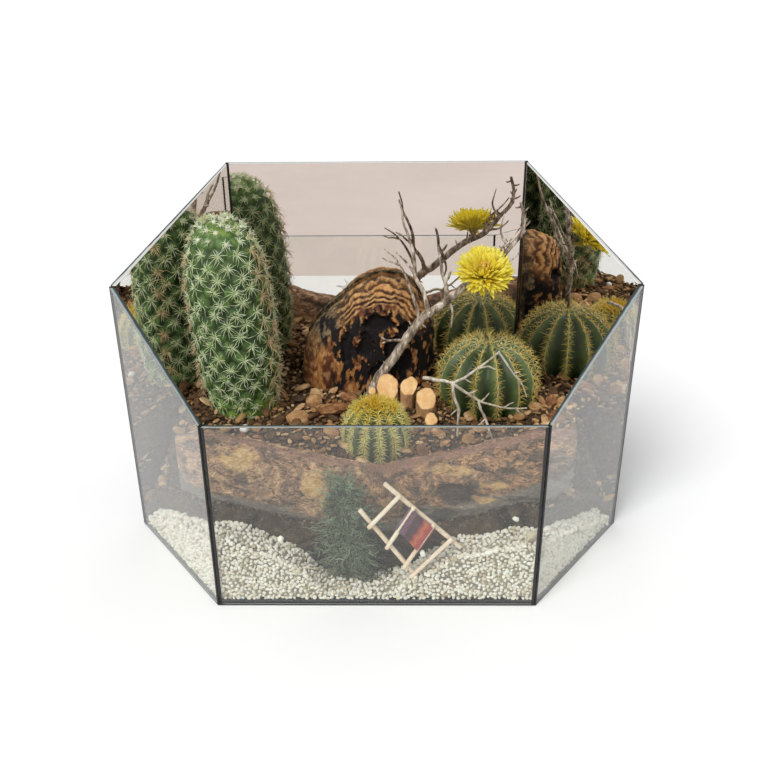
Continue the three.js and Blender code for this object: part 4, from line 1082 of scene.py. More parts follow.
def logBark():
    # Weathered bark in torn fibres: tan, orange and grey-brown, with a smooth reddish edge on top. The
    # grey-brown underside and the dark hollows and cracks are painted shade.
    mat = newMaterial("flakingBark")
    place = coordinates(mat)
    leftward = coordinates(mat, (0.5, 1, 1.1), (0, 0.7, 0))
    rightward = coordinates(mat, (0.38, 1, 1.1), (0, -0.35, 0))
    where = addNode(mat, "Attribute", attribute_name="right").outputs["Fac"]
    run = addNode(mat, "Mix", {0: where, 4: leftward, 5: rightward}, data_type="VECTOR").outputs[1]
    flakes = addNode(mat, "TexNoise", {"Vector": place, "Scale": 1000 / 11, "Detail": 8.0, "Roughness": 0.7,
                                       "Distortion": 1.2})
    fibres = addNode(mat, "TexNoise", {"Vector": run, "Scale": 1000 / 2.0, "Detail": 8.0, "Roughness": 0.78,
                                       "Distortion": 1.6})
    leftTones = addNode(mat, "ValToRGB", {"Fac": flakes}, [(0.36, "#857468"), (0.46, "#ac9280"),
                                                           (0.53, "#d0ab8a"), (0.6, "#e8c9a8")])
    rightTones = addNode(mat, "ValToRGB", {"Fac": flakes}, [(0.38, "#74675e"), (0.48, "#99816f"),
                                                            (0.55, "#c49d7a"), (0.63, "#deb992")])
    colour = addNode(mat, "Mix", {0: where, 6: leftTones, 7: rightTones}, data_type="RGBA")
    strand = addNode(mat, "ValToRGB", {"Fac": fibres}, [(0.36, "#4a3f3a"), (0.44, "#958478"),
                                                        (0.5, "#e6d8cc"), (0.6, "#fffaf4")])
    colour = addNode(mat, "Mix", {0: 0.95, 6: colour.outputs[2], 7: strand}, data_type="RGBA",
                     blend_type="MULTIPLY")
    for layer, stops in (
        ("band", [(0.35, "#65473a"), (0.5, "#94705c"), (0.65, "#c09c86")]),  # smooth and reddish
        # painted shade: the grey-brown underside, where the log turns down
        ("under", [(0.35, "#544b45"), (0.5, "#82766c"), (0.66, "#aca094")]),  # the grey underside
        ("pale", [(0.35, "#b5864f"), (0.5, "#dcb27a"), (0.65, "#f2d6a6")]),  # bare sapwood
        # painted shade in the knot hollow, the cracks and the low gaps
        ("dark", [(0.35, "#2d2825"), (0.55, "#4a423d"), (0.7, "#665c54")]),  # hollows
    ):
        tones = addNode(mat, "ValToRGB", {"Fac": fibres}, stops)
        amount = addNode(mat, "Attribute", attribute_name=layer).outputs["Fac"]
        colour = addNode(mat, "Mix", {0: amount, 6: colour.outputs[2], 7: tones}, data_type="RGBA")
    relief = addNode(mat, "Bump", {"Height": fibres, "Distance": 1.4 * mm})
    surface = addNode(mat, "BsdfPrincipled", {"Base Color": colour.outputs[2], "Roughness": 0.93,
                                              "Specular IOR Level": 0.25, "Normal": relief})
    addNode(mat, "OutputMaterial", {"Surface": surface})
    return mat


def torn(spot, size):  # torn fibres: sharp-edged ledges across the grain, from about -1 to 1
    bent = spot + Vector((wave(spot, 12, 2), 0, wave(spot + Vector((70, 0, 0)), 12, 2))) * 3
    value = wave(bent, size, 5)
    return 1 - 2.2 * abs(value - 0.25) if value < 0.6 else -0.2


def makeLog():
    kx, kz, kw, kh, tilt = log["knot"]

    def skinAt(u, v):
        angle = u * 2 * math.pi
        share = log["capShare"]
        body = clip((v - share) / (1 - 2 * share))
        cap = min(1.0, v / share, (1 - v) / share)
        x = blend(-log["length"], log["length"], body)
        middle = log["middleZ"] + log["rise"] * math.sqrt(x * x + 60)  # lowest in the middle of the tank
        taper = 1 - 0.25 * max(0.0, (abs(x) - 100) / 22)
        c, n = math.cos(angle), math.sin(angle)
        k = taper * cap ** 0.7
        place = Vector((x, log["middleY"] + log["depth"] * k * c, middle + log["height"] * k * n))
        z = place.z
        right = fade(-12, 22, x)  # the two halves differ in colour and in the run of their fibres
        edge = wave((x, 0, 3), 24, 3)
        fall = z - (70 - 6 * right + 0.2 * math.sqrt(x * x + 60))  # height over the log's middle line
        low = blend(0.965, 0.925, right)  # where the smooth band ends
        band = fade(low - 0.02, low + 0.04, n + 0.05 * edge) * fade(0.2, -0.05, c)
        torn1 = torn(Vector((x * 0.5 + z * 0.35, place.y, z - x * blend(-0.2, 0.25, right))), 9)
        torn2 = wave((x * 0.8 + z * 0.5, place.y, z * 1.2), 5, 4)
        # under: the underside, painted darker and greyer as shade where the surface turns down
        under = fade(-0.02, -0.2, n + 0.18 * edge + 0.12 * torn2 + blend(0.2, 0.02, right))
        torn3 = wave((x * 0.7 + z * 0.6, place.y, z * 1.3 - x * 0.2), 2.6, 3)
        relief = log["plate"] * torn1 + log["crack"] * torn2 + log["fibre"] * torn3
        calm = max(0.7 * band, 0.5 * under)
        relief = relief * (1 - calm) + log["swell"] * wave((x, place.y, z), 28, 2)
        dx, dz = x - kx, z - kz
        a = (dx * math.cos(tilt) + dz * math.sin(tilt)) / kw
        b = (-dx * math.sin(tilt) + dz * math.cos(tilt)) / kh
        away = math.hypot(a, b) + 0.12 * torn2 if c < 0 else 9.0
        knot, rim = fade(1.1, 0.75, away), math.exp(-((away - 1.25) / 0.25) ** 2)
        relief += log["rimHeight"] * rim - log["hollow"] * knot
        gaps = fade(0.12, 0.3, wave((x * 0.5 + z * 0.8, 40, z - x * 0.35), 11, 3))
        # dark: painted shade in the knot hollow, in the recesses between the torn ledges, and in gaps below
        # the middle line of the right half
        dark = max(0.9 * knot, 0.75 * fade(-0.2, -0.9, torn1) * (1 - band) * (1 - 0.6 * under),
                   0.7 * right * gaps * (1 - band) * fade(8, -6, fall))
        pale = 0.0
        if c < 0:
            for px, pz, wide, high in log["pale"]:
                near = math.hypot((x - px) / wide, (z - pz) / high) + 0.35 * torn2
                pale = max(pale, fade(1.15, 0.75, near))
        out = Vector((0, c / log["depth"], n / log["height"])).normalized()
        place += out * (relief - 0.7) * cap
        return insideTank(place), (band, under * (1 - 0.7 * pale), min(1.0, dark) * (1 - 0.6 * pale),
                                   0.75 * pale, right)

    body = wrapGrid(log["around"], log["lengthways"], skinAt, ("band", "under", "dark", "pale", "right"))
    finishPiece(body, "log_bark", [logBark()], "bark", ["log"], weld=0.01)


makeLog()
print("log is made")


# The burnt stump
stump = {"outline": ((-58, 81), (-57.5, 91), (-56, 100), (-51.5, 114), (-45, 126.5), (-34, 136.5),
                     (-25, 144), (-16, 153), (-4, 158.5), (5.5, 160), (16, 158.5), (24, 153.5),
                     (31, 145.5), (38, 136.5), (41, 124), (41, 104), (39, 80), (20, 76), (0, 75),
                     (-20, 75), (-40, 76)),  # x and z, seen from the front
         "centre": (-4, 112), "depths": ((48, 0.0), (48, 0.46), (49.5, 0.64), (53, 0.77), (58.5, 0.87),
                                         (65, 0.93), (72, 0.97), (79, 0.995), (80, 0.9), (80, 0.0)),
         "steps": (0.0, 0.26, 0.4, 0.52, 0.62, 0.7, 0.77, 0.84, 0.88, 1.0),
         "hollows": ((1, 136, 11, 6.5, 5), (24, 131, 9, 6, 5), (-8, 118, 6, 10, 3), (11, 114, 6, 11, 3.5),
                     (-21, 118, 5, 12, 2.5), (1, 97, 8, 10, 2.5), (20, 106, 5, 9, 2.5)),
         "patches": {"char": ((-21, 112, 9, 24), (-2, 108, 14, 24), (16, 108, 15, 22), (1, 136, 12, 8),
                              (24, 131, 10, 8), (-30, 128, 7, 9), (33, 112, 9, 26)),
                     "red": ((-1, 147.5, 11, 6.5), (-12, 128, 6, 9), (-34, 98, 5, 12))},
         "lump": (-43, 100, 13, 22), "around": 260, "depth": 170, "backY": 80.3,
         "ridgeLines": 118, "ridgeHeight": 0.75, "crustHeight": 1.1, "charDepth": 0.7}


def nearPatch(patches, x, z):  # 1 in the middle of a patch, 0 at its edge, less outside
    return max(1 - math.hypot((x - px) / wide, (z - pz) / high) for px, pz, wide, high in patches)


def burntWood():
    # Old burnt wood: orange and red-brown wood, black char, tan ridges and a grey crust of bark.
    mat = newMaterial("burntWood")
    upright = coordinates(mat, (1.4, 1, 0.7))
    fine = addNode(mat, "TexNoise", {"Vector": upright, "Scale": 1000 / 2.6, "Detail": 5.0,
                                     "Roughness": 0.7})
    warm = addNode(mat, "ValToRGB", {"Fac": fine}, [(0.28, "#6e4321"), (0.44, "#96602f"), (0.58, "#b07a45"),
                                                    (0.74, "#c99a66")])
    colour = warm.outputs[0]
    for layer, stops in (
        ("red", [(0.3, "#3d2014"), (0.55, "#623620"), (0.75, "#82502f")]),
        ("ridge", [(0.3, "#ad7b45"), (0.55, "#cfa169"), (0.75, "#e6c595")]),
        ("rim", [(0.3, "#2b241b"), (0.45, "#5a4c36"), (0.6, "#8e7b5b"), (0.76, "#bba883")]),
        ("char", [(0.3, "#0d0b0c"), (0.6, "#1d1615"), (0.8, "#33241b")]),
    ):
        tones = addNode(mat, "ValToRGB", {"Fac": fine}, stops)
        amount = addNode(mat, "Attribute", attribute_name=layer).outputs["Fac"]
        colour = addNode(mat, "Mix", {0: amount, 6: colour, 7: tones}, data_type="RGBA").outputs[2]
    relief = addNode(mat, "Bump", {"Height": fine, "Distance": 0.8 * mm})
    surface = addNode(mat, "BsdfPrincipled", {"Base Color": colour, "Roughness": 0.85,
                                              "Specular IOR Level": 0.3, "Normal": relief})
    addNode(mat, "OutputMaterial", {"Surface": surface})
    return mat


def makeStump():
    outline = smoothPath([(x, z, 0) for x, z in stump["outline"] + stump["outline"][:1]], 8)[:-1]
    lengths = [0.0]
    for a, b in zip(outline, outline[1:] + outline[:1]):
        lengths.append(lengths[-1] + (b - a).length)
    cx, cz = stump["centre"]
    depthAt = list(zip(stump["steps"], [d for d, _ in stump["depths"]]))
    sizeAt = list(zip(stump["steps"], [k for _, k in stump["depths"]]))
    lx, lz, lw, lh = stump["lump"]

    def skinAt(u, v):
        target = u * lengths[-1]
        k = min(bisect.bisect(lengths, target) - 1, len(outline) - 1)
        a, b = outline[k], outline[(k + 1) % len(outline)]
        spot = a.lerp(b, (target - lengths[k]) / (lengths[k + 1] - lengths[k]))
        size, depth = along(sizeAt, v), along(depthAt, v)
        foot = (1 - fade(84, 100, spot.y)) * fade(0.3, 0.46, size)
        knobs = 0.5 + 0.5 * wave((spot.x, 0, spot.y), 6, 3)
        size *= 1 - 0.035 * knobs * fade(5, -30, spot.x)  # knobbly on the left
        x, z = cx + (spot.x - cx) * size, cz + (spot.y - cz) * blend(size, max(size, 0.9), foot)
        front = fade(0.84, 0.8, v)
        warp = wave((x, 0, z), 15, 3)
        mottle = wave((x * 1.25, 4, z * 0.62), 6.5, 4)
        lump = fade(1.15, 0.75, math.hypot((x - lx) / lw, (z - lz) / lh) + 0.15 * warp) * front
        edge = size + 0.025 * warp  # how near the rim
        upper = fade(122, 136, z) * fade(-32, -20, x + 0.3 * (z - 130))
        swirl = math.sin(edge * stump["ridgeLines"] + 2.6 * wave((x, 0, z), 6, 3)
                         + 1.4 * wave((x, 20, z), 2.6, 2))
        ridges = upper * fade(0.72, 0.8, edge + 0.05 * mottle) * front * fade(40, 28, x)
        crust = max(fade(0.945, 0.965, edge), fade(-22, -30, x - 0.4 * (z - 126)) * fade(0.7, 0.8, edge)
                    * fade(104, 116, z)) * (1 - 0.8 * lump)
        lumps = wave((x, depth * 1.2, z), 7, 3)
        pit = 0.0
        for hx, hz, hw, hh, deep in stump["hollows"]:
            away = math.hypot((x - hx) / hw, (z - hz) / hh) + 0.45 * wave((x, 9, z), 5, 3)
            pit = max(pit, fade(1.1, 0.7, away) * deep)
        pit *= front * (1 - crust)
        near = nearPatch(stump["patches"]["char"], x, z)
        speck = wave((x * 1.1, 80, z * 0.6), 3.2, 3)
        char = fade(-0.05, 0.05, near * 0.62 + 1.0 * mottle + 0.75 * speck + 0.02) * front
        char = max(char, min(1.0, pit / 1.6)) * (1 - 0.85 * ridges)
        char = max(char, 0.8 * ridges * fade(-0.1, -0.7, swirl), 0.8 * lump * fade(0.12, 0.3, mottle))
        char = max(char * (1 - 0.85 * lump), 0.8 * crust * fade(0.0, -0.25, lumps))
        red = fade(-0.05, 0.05, nearPatch(stump["patches"]["red"], x, z) + 0.5 * warp)
        red = max(red, fade(0.1, 0.2, wave((x, 30, z * 0.7), 9, 3)) * 0.8) * front
        flecks = 0.5 * fade(0.1, 0.3, wave((x * 1.2, 60, z), 5, 3))
        ridge = max(ridges * fade(-0.2, 0.5, swirl) * (0.75 + 0.5 * mottle), flecks)
        relief = ridges * (stump["ridgeHeight"] * swirl - 0.1) + 0.6 * wave((x * 1.4, depth, z * 0.6), 8, 4)
        relief += (stump["crustHeight"] * crust * lumps
                   - stump["charDepth"] * char * (1 - ridges) * (1 - crust) + 1.0 * lump)
        side = 0.02 * (0.2 + size ** 3)
        outward = Vector(((x - cx) * side, -1 + fade(0.62, 0.8, v), (z - cz) * side)).normalized()
        relief = (relief - pit - 0.4) * fade(0.92, 0.86, v) * fade(0.0, 0.02, v)
        place = Vector((x, depth, z)) + outward * relief
        place.y = min(place.y, stump["backY"])
        return place, (ridge, crust * (1 - 0.7 * ridges), min(1.0, char), red)

    body = wrapGrid(stump["around"], stump["depth"], skinAt, ("ridge", "rim", "char", "red"))
    finishPiece(body, "stump_wood", [burntWood()], "stump_wood", ["stump"], weld=0.01)


makeStump()
print("stump is made")


# Sawn lengths of wood
cutWood = {"places": ((6.7, 30, 95.6, 7.8, 0), (21.3, 30.5, 96.2, 6, 1), (33.6, 22, 91, 6.8, 0),
                      (36.4, 7, 83, 4.2, 0), (-2.4, 23.8, 96, 2.4, -2.5)),  # x, y, z, radius, lean
           "rings": (0.93, 0.78, 0.6, 0.4, 0.2), "wobble": 0.26, "cut": (0, -0.66, 0.75)}


def sawnFace():
    # A fresh sawn end: tan wood with faint growth rings and fine saw marks.
    mat = newMaterial("sawnWood")
    place = coordinates(mat)
    ring = addNode(mat, "Attribute", attribute_name="shade").outputs["Fac"]
    patch = addNode(mat, "TexNoise", {"Vector": place, "Scale": 1000 / 4, "Detail": 4.0})
    wobble = addNode(mat, "Math", {0: patch, 1: 0.22, 2: ring}, operation="MULTIPLY_ADD")
    phase = addNode(mat, "Math", {0: wobble, 1: 42.0}, operation="MULTIPLY")
    rings = addNode(mat, "Math", {0: phase}, operation="SINE")
    amount = addNode(mat, "MapRange", {"Value": rings, "From Min": -1.0, "From Max": 1.0})
    light = addNode(mat, "ValToRGB", {"Fac": patch}, [(0.3, "#dcae74"), (0.6, "#ecc996"), (0.8, "#f6dcb4")])
    deep = addNode(mat, "ValToRGB", {"Fac": patch}, [(0.3, "#d2a065"), (0.7, "#e3ba80")])
    colour = addNode(mat, "Mix", {0: amount, 6: light, 7: deep}, data_type="RGBA")
    cuts = coordinates(mat, (0.3, 1, 3))
    saw = addNode(mat, "TexNoise", {"Vector": cuts, "Scale": 1000 / 0.8, "Detail": 3.0})
    relief = addNode(mat, "Bump", {"Height": saw, "Distance": 0.12 * mm})
    surface = addNode(mat, "BsdfPrincipled", {"Base Color": colour.outputs[2], "Roughness": 0.8,
                                              "Specular IOR Level": 0.3, "Normal": relief})
    addNode(mat, "OutputMaterial", {"Surface": surface})
    return mat


def makeCutWood():
    bark = natural("barkedTwigSide", [(0.3, "#a87c50"), (0.6, "#cfa476"), (0.8, "#ecd0a6")], 5, 0.9, 0.95,
                   0.4, stretch=(1.5, 1.5, 0.5), contrast=0.3)
    face = sawnFace()
    cut = Vector(cutWood["cut"]).normalized()
    for i, (x, y, z, radius, lean) in enumerate(cutWood["places"]):
        bm = bmesh.new()
        layer = bm.verts.layers.float.new("shade")
        lower, higher = Vector((x - 0.6 - lean, y + 4, z - 26)), Vector((x + lean, y - 1, z + 12))
        heading = (higher - lower).normalized()
        bmesh.ops.create_cone(bm, cap_ends=True, segments=30, radius1=radius, radius2=radius * 0.99,
                              depth=(higher - lower).length, matrix=aim((lower + higher) / 2, heading))
        bmesh.ops.subdivide_edges(bm, edges=edgesAlong(bm, heading), cuts=9, use_grid_fill=True)
        for vert in bm.verts:
            axis = lower + heading * (vert.co - lower).dot(heading)
            bumps = wave(axis * 0.25 + (vert.co - axis).normalized() * 5 + Vector((i * 41, 0, 0)), 6, 3)
            vert.co = axis + (vert.co - axis) * (1 + cutWood["wobble"] * bumps)
            vert[layer] = 1.0
        bmesh.ops.bisect_plane(bm, geom=bm.verts[:] + bm.edges[:] + bm.faces[:], plane_co=(x, y, z),
                               plane_no=cut, clear_outer=True)
        opened = [edge for edge in bm.edges if edge.is_boundary]
        sawn = bmesh.ops.contextual_create(bm, geom=opened)["faces"][0]
        centre = sawn.calc_center_median()
        before = 1.0
        for now in cutWood["rings"]:  # ring after ring towards the middle of the sawn face
            sawn = pushFace(bm, sawn)
            for vert in sawn.verts:
                vert.co = centre + (vert.co - centre) * now / before
                vert[layer] = now
            if before < 1.0:
                for edge in sawn.edges:
                    for ringFace in edge.link_faces:
                        ringFace.material_index = 1
            before = now
        sawn.material_index = 1
        piece = finishPiece(bm, f"cut_wood_length_{i + 1}", [bark, face], "cut_wood", [f"cut_wood_{i + 1}"])
        piece.data.set_sharp_from_angle(angle=math.radians(40))


makeCutWood()
print("sawn lengths are made")


# Stones and bark on the soil
stones = {
    "tan_stone_1": ((-54, 15, 80.5), (9, 7, 5.5), 0.4), "tan_stone_2": ((-44, 33, 84), (7.5, 6, 5), 1.3),
    "tan_stone_3": ((-31, 8, 75), (7, 5.5, 4.5), 2.2), "bark_plate": ((-31, 25, 82.5), (12, 7, 2.4), 0.35),
    "white_pebble": ((-89, 0.5, 81), (3.2, 2.7, 2.5), 0.2), "bark_chip_1": ((121, 33, 84), (7, 4.2, 3), 1.2),
    "bark_chip_2": ((119, 12, 82), (7.5, 4.8, 3), 0.5), "bark_chip_3": ((-20, 39, 83.5), (7, 4.5, 3), 2.6),
}


def makeStones():
    tanStone = natural("tanSandstone", [(0.3, "#8a6440"), (0.5, "#b08658"), (0.7, "#cfaa7c")], 7, 0.8, 0.92,
                       0.35, contrast=0.35)
    whiteStone = natural("whiteMarble", [(0.3, "#d9d4c8"), (0.7, "#f4f1e9")], 6, 0.7, 0.6, 0.1,
                         contrast=0.12)
    chipBark = natural("pineBark", [(0.28, "#50301b"), (0.5, "#8b5c38"), (0.7, "#bb9062")], 8, 0.8, 0.95,
                       0.6, stretch=(1, 1, 3), contrast=0.5)
    finishes = {"tan": (tanStone, "tan_stone"), "white": (whiteStone, "white_stone"),
                "bark": (chipBark, "bark")}
    for i, (name, (centre, size, turn)) in enumerate(stones.items()):
        bm = bmesh.new()
        bmesh.ops.create_icosphere(bm, subdivisions=5, radius=1)
        flaky = "bark" in name
        spin = Matrix.Rotation(turn, 3, "Z")
        for vert in bm.verts:
            way = vert.co.copy()
            facet = wave(way * 10 + Vector((i * 50, 0, 0)), 6 if flaky else 9, 3)
            reach = 1 + (0.1 if flaky else 0.13) * facet - 0.02
            if name.startswith("tan"):  # a few broken flat sides
                for k in range(5):
                    a = k * 2.1 + i
                    flat = Vector((math.cos(a), math.sin(a), 0.5 * math.cos(k * 3.3 + i)))
                    reach = min(reach, 0.84 / max(0.2, way.dot(flat.normalized())))
            spot = Vector(co * s for co, s in zip(way * reach, size))
            if flaky:
                spot.z += 0.5 * math.sin(spot.y * 1.7 + 2 * facet)
            vert.co = Vector(centre) + spin @ spot
        mat, slot = finishes[name.split("_")[0]]
        finishPiece(bm, name + "_piece", [mat], slot, [name])


makeStones()
print("stones are made")


# The feathery moss plant
moss = {"spread": ((0, 22), (0.25, 25), (0.45, 20), (0.6, 13), (1, 10)),
        "stem": ((-16, -66.3, 10), (-17, -66.4, 30), (-18, -66.6, 52), (-19, -67, 70), (-20, -66.8, 84)),
        "stemRadii": (1.6, 0.6), "shoots": 110, "shootRadii": (0.45, 0.2), "leaflets": 15, "leaf": (4.5, 9),
        "leafWidth": 0.4, "threads": 170, "threadRadii": (0.32, 0.128), "nearest": -71.6, "furthest": -62.0,
        "lowest": 7.5}


def makeMoss():
    leaf = natural("featherMoss", [(0.3, "#77806c"), (0.5, "#969f87"), (0.7, "#bcc4a8")], 9, 1.0, 0.75, 0.1,
                   shade=1.0, shadeStops=[(0.0, "#4a4440"), (0.3, "#87837a"), (0.6, "#dfe6d8"),
                                          (1.0, "#ffffff")], contrast=0.3)
    stemMat = natural("mossStem", [(0.3, "#3f4638"), (0.7, "#5f6a54")], 5, 0.8, 0.9, 0.2)
    rng = random.Random(51)
    spine = smoothPath(moss["stem"], 8)

    def kept(spot):  # between the front pane and the log
        spot.y = max(moss["nearest"], min(moss["furthest"], spot.y))
        spot.z = max(moss["lowest"], spot.z)
        return spot

    def lowerRightDarkening(spot):  # darker at the lower right
        return fade(-14, 6, spot.x) * fade(60, 40, spot.z)

    shoots = []
    for _ in range(moss["shoots"]):
        t = rng.random() ** 1.25
        root = spine[int(t * (len(spine) - 1))].copy()
        side = rng.choice((-1, 1))
        reach = along(moss["spread"], t) * rng.uniform(0.25, 1.05)
        rise = rng.uniform(-0.6, 1.7)
        depth = rng.uniform(-1, 1)
        points = [root]
        for k in (0.33, 0.66, 1.0):
            points.append(kept(root + Vector((side * reach * k + rng.uniform(-1.5, 1.5), depth * 5 * k,
                                              reach * (rise * k - 0.65 * k * k) + rng.uniform(-1, 1)))))
        shoots.append((points, rng.random(), t))

    def makeShoot(part, layer, item):
        points, shade, t = item
        addStick(part, layer, points, moss["shootRadii"], 4, 3, 0, shade * 0.5)
        path = smoothPath(points, 5)
        for _ in range(moss["leaflets"]):
            at = rng.uniform(0.05, 1.0) * (len(path) - 1)
            ahead = path[min(int(at) + 1, len(path) - 1)]
            spot = path[int(at)].lerp(ahead, at % 1.0)
            heading = (ahead - path[max(int(at) - 1, 0)]).normalized()
            sideways = Vector((rng.uniform(-1, 1), rng.uniform(-0.7, 0.7), rng.uniform(-1, 1)))
            direction = heading * 0.8 + sideways
            length = rng.uniform(*moss["leaf"])
            tip = spot + direction.normalized() * length
            if tip.y < moss["nearest"] or tip.y > moss["furthest"]:
                direction.y = -direction.y * 0.3
            colour = clip(0.1 + 0.3 * shade + 0.6 * rng.random() ** 1.3 + 0.1 * t - 0.6 * lowerRightDarkening(spot))
            addSpine(part, layer, spot, direction, length, moss["leafWidth"], colour,
                     up * rng.uniform(-1.5, 0.6) + Vector((rng.uniform(-1, 1), 0, 0)))

    finishPiece(inBatches(shoots, makeShoot, 6), "moss_shoots", [leaf], "moss_green", ["moss_plant"])

    def makeThread(part, layer, item):  # long pale hairs that rise and curl over
        t = rng.random() ** 1.1
        aside = rng.uniform(-1, 1) * along(moss["spread"], t) * 0.7
        spot = spine[int(t * (len(spine) - 1))] + Vector((aside, 0, 0))
        way = Vector((rng.uniform(-0.8, 0.8), 0, 1))
        points = [kept(spot.copy())]
        for _ in range(5):
            way = (way + Vector((rng.uniform(-0.9, 0.9), 0, rng.uniform(-0.9, 0.35)))).normalized()
            spot = kept(spot + way * rng.uniform(2.2, 4.2) + Vector((0, rng.uniform(-0.8, 0.8), 0)))
            points.append(spot.copy())
        shade = clip(rng.uniform(0.45, 1.0) - 0.5 * lowerRightDarkening(spot))
        addStick(part, layer, points, moss["threadRadii"], 3, 3, 0, shade)

    threads = list(range(moss["threads"]))
    finishPiece(inBatches(threads, makeThread, 10), "moss_threads", [leaf], "moss_green")

    def makeStem(part, layer, item):
        addStick(part, layer, moss["stem"], moss["stemRadii"], 8, 8, 0.25, 0.5)

    finishPiece(inBatches([0], makeStem), "moss_stem", [stemMat], "moss_green")


makeMoss()
print("moss is made")


# The toy ladder
ladder = {"leftRail": ((-9.7, -74, 66.6), (24.3, -76.3, 19.4)),
          "rightRail": ((5.5, -73.6, 85.4), (52.6, -76, 39.8)), "railRadius": 1.5,
          "rungs": ((0.173, 0.198), (0.36, 0.51), (0.624, 0.822), (0.85, 0.969)),  # right and left rail
          "rungRadius": 1.4, "overhang": 2.4, "forward": 3,
          "cloth": (0.44, 0.94), "clothRadius": 1.75, "clothThickness": 0.6,  # from and to along the rungs
          "wrapShare": 0.24, "wrapTurn": 300, "clothSag": 0.9, "yarns": (16, 14)}


def makeLadder():
    wood = natural("barePeeledStick", [(0.3, "#d6b899"), (0.5, "#ebd3b9"), (0.7, "#f6e7d6")], 7, 0.9, 0.75,
                   0.12, stretch=(0.6, 1, 0.6), turn=(0, 0.8, 0), contrast=0.2)
    railA, railB = [[Vector(p) for p in ladder[side]] for side in ("leftRail", "rightRail")]
    forward = Vector((0, -ladder["forward"], 0))  # the rungs are laid in front of the rails

    def makeRod(name, a, b, radius, seed):
        bm = bmesh.new()
        layer = bm.verts.layers.float.new("shade")
        heading = (b - a).normalized()
        bmesh.ops.create_cone(bm, cap_ends=True, segments=18, radius1=radius, radius2=radius,
                              depth=(b - a).length, matrix=aim((a + b) / 2, heading))
        bmesh.ops.subdivide_edges(bm, edges=edgesAlong(bm, heading), cuts=15)
        for vert in bm.verts:
            axis = a + heading * (vert.co - a).dot(heading)
            uneven = 0.05 * wave(vert.co + Vector((seed * 30, 0, 0)), 4, 2) - 0.02
            vert.co = axis + (vert.co - axis) * (1 + uneven)
            vert[layer] = 0.5
        roundEdges(bm, [edge for edge in bm.edges if edge.calc_face_angle(0) > 1.0], 0.25)
        piece = finishPiece(bm, name + "_stick", [wood], "ladder_wood", [name])
        piece.data.set_sharp_from_angle(angle=math.radians(50))

    makeRod("ladder_rail_left", *railA, ladder["railRadius"], 1)
    makeRod("ladder_rail_right", *railB, ladder["railRadius"], 2)
    ends = []
    for i, (right, left) in enumerate(ladder["rungs"]):
        a, b = railA[0].lerp(railA[1], left) + forward, railB[0].lerp(railB[1], right) + forward
        way = (b - a).normalized() * ladder["overhang"]
        ends.append((a - way, b + way))
        makeRod(f"ladder_rung_{i + 1}", a - way, b + way, ladder["rungRadius"], 3 + i)
    return ends


def wovenCloth():
    # A coarse hand weave: thick purple, maroon, red and orange yarn.
    mat = newMaterial("wovenYarn")
    where = addNode(mat, "UVMap", uv_map="weave")
    split = addNode(mat, "SeparateXYZ", {0: where})
    waver = addNode(mat, "TexNoise", {"Vector": where, "Scale": 5.0, "Detail": 3.0})
    shifted = addNode(mat, "Math", {0: waver, 1: 0.16, 2: split.outputs["Y"]}, operation="MULTIPLY_ADD")
    stripes = addNode(mat, "ValToRGB", {"Fac": shifted},
                      [(0.1, "#7d5570"), (0.3, "#6a3d5c"), (0.4, "#8a566f"), (0.46, "#4a2233"),
                       (0.6, "#5c2230"), (0.64, "#b0343a"), (0.71, "#d9743a"), (0.77, "#c23a36"),
                       (0.88, "#a82c36"), (1.0, "#8e2230")])
    yarn = []
    for axis, count in zip("XY", ladder["yarns"]):
        phase = addNode(mat, "Math", {0: split.outputs[axis], 1: 6.283 * count}, operation="MULTIPLY")
        yarn.append(addNode(mat, "Math", {0: phase}, operation="SINE"))
    height = addNode(mat, "Math", {0: yarn[0], 1: yarn[1]}, operation="MULTIPLY")
    # painted shade where one yarn passes under another, and a painted highlight on the tops of the crossings
    shadow = addNode(mat, "MapRange", {"Value": height, "From Min": -1.0, "From Max": 1.0, "To Min": 0.45,
                                       "To Max": 1.25})
    colour = addNode(mat, "Mix", {0: 1.0, 6: stripes, 7: shadow}, data_type="RGBA", blend_type="MULTIPLY")
    relief = addNode(mat, "Bump", {"Height": height, "Distance": 0.35 * mm})
    surface = addNode(mat, "BsdfPrincipled", {"Base Color": colour.outputs[2], "Roughness": 0.95,
                                              "Sheen Weight": 0.3, "Specular IOR Level": 0.2,
                                              "Normal": relief})
    addNode(mat, "OutputMaterial", {"Surface": surface})
    return mat


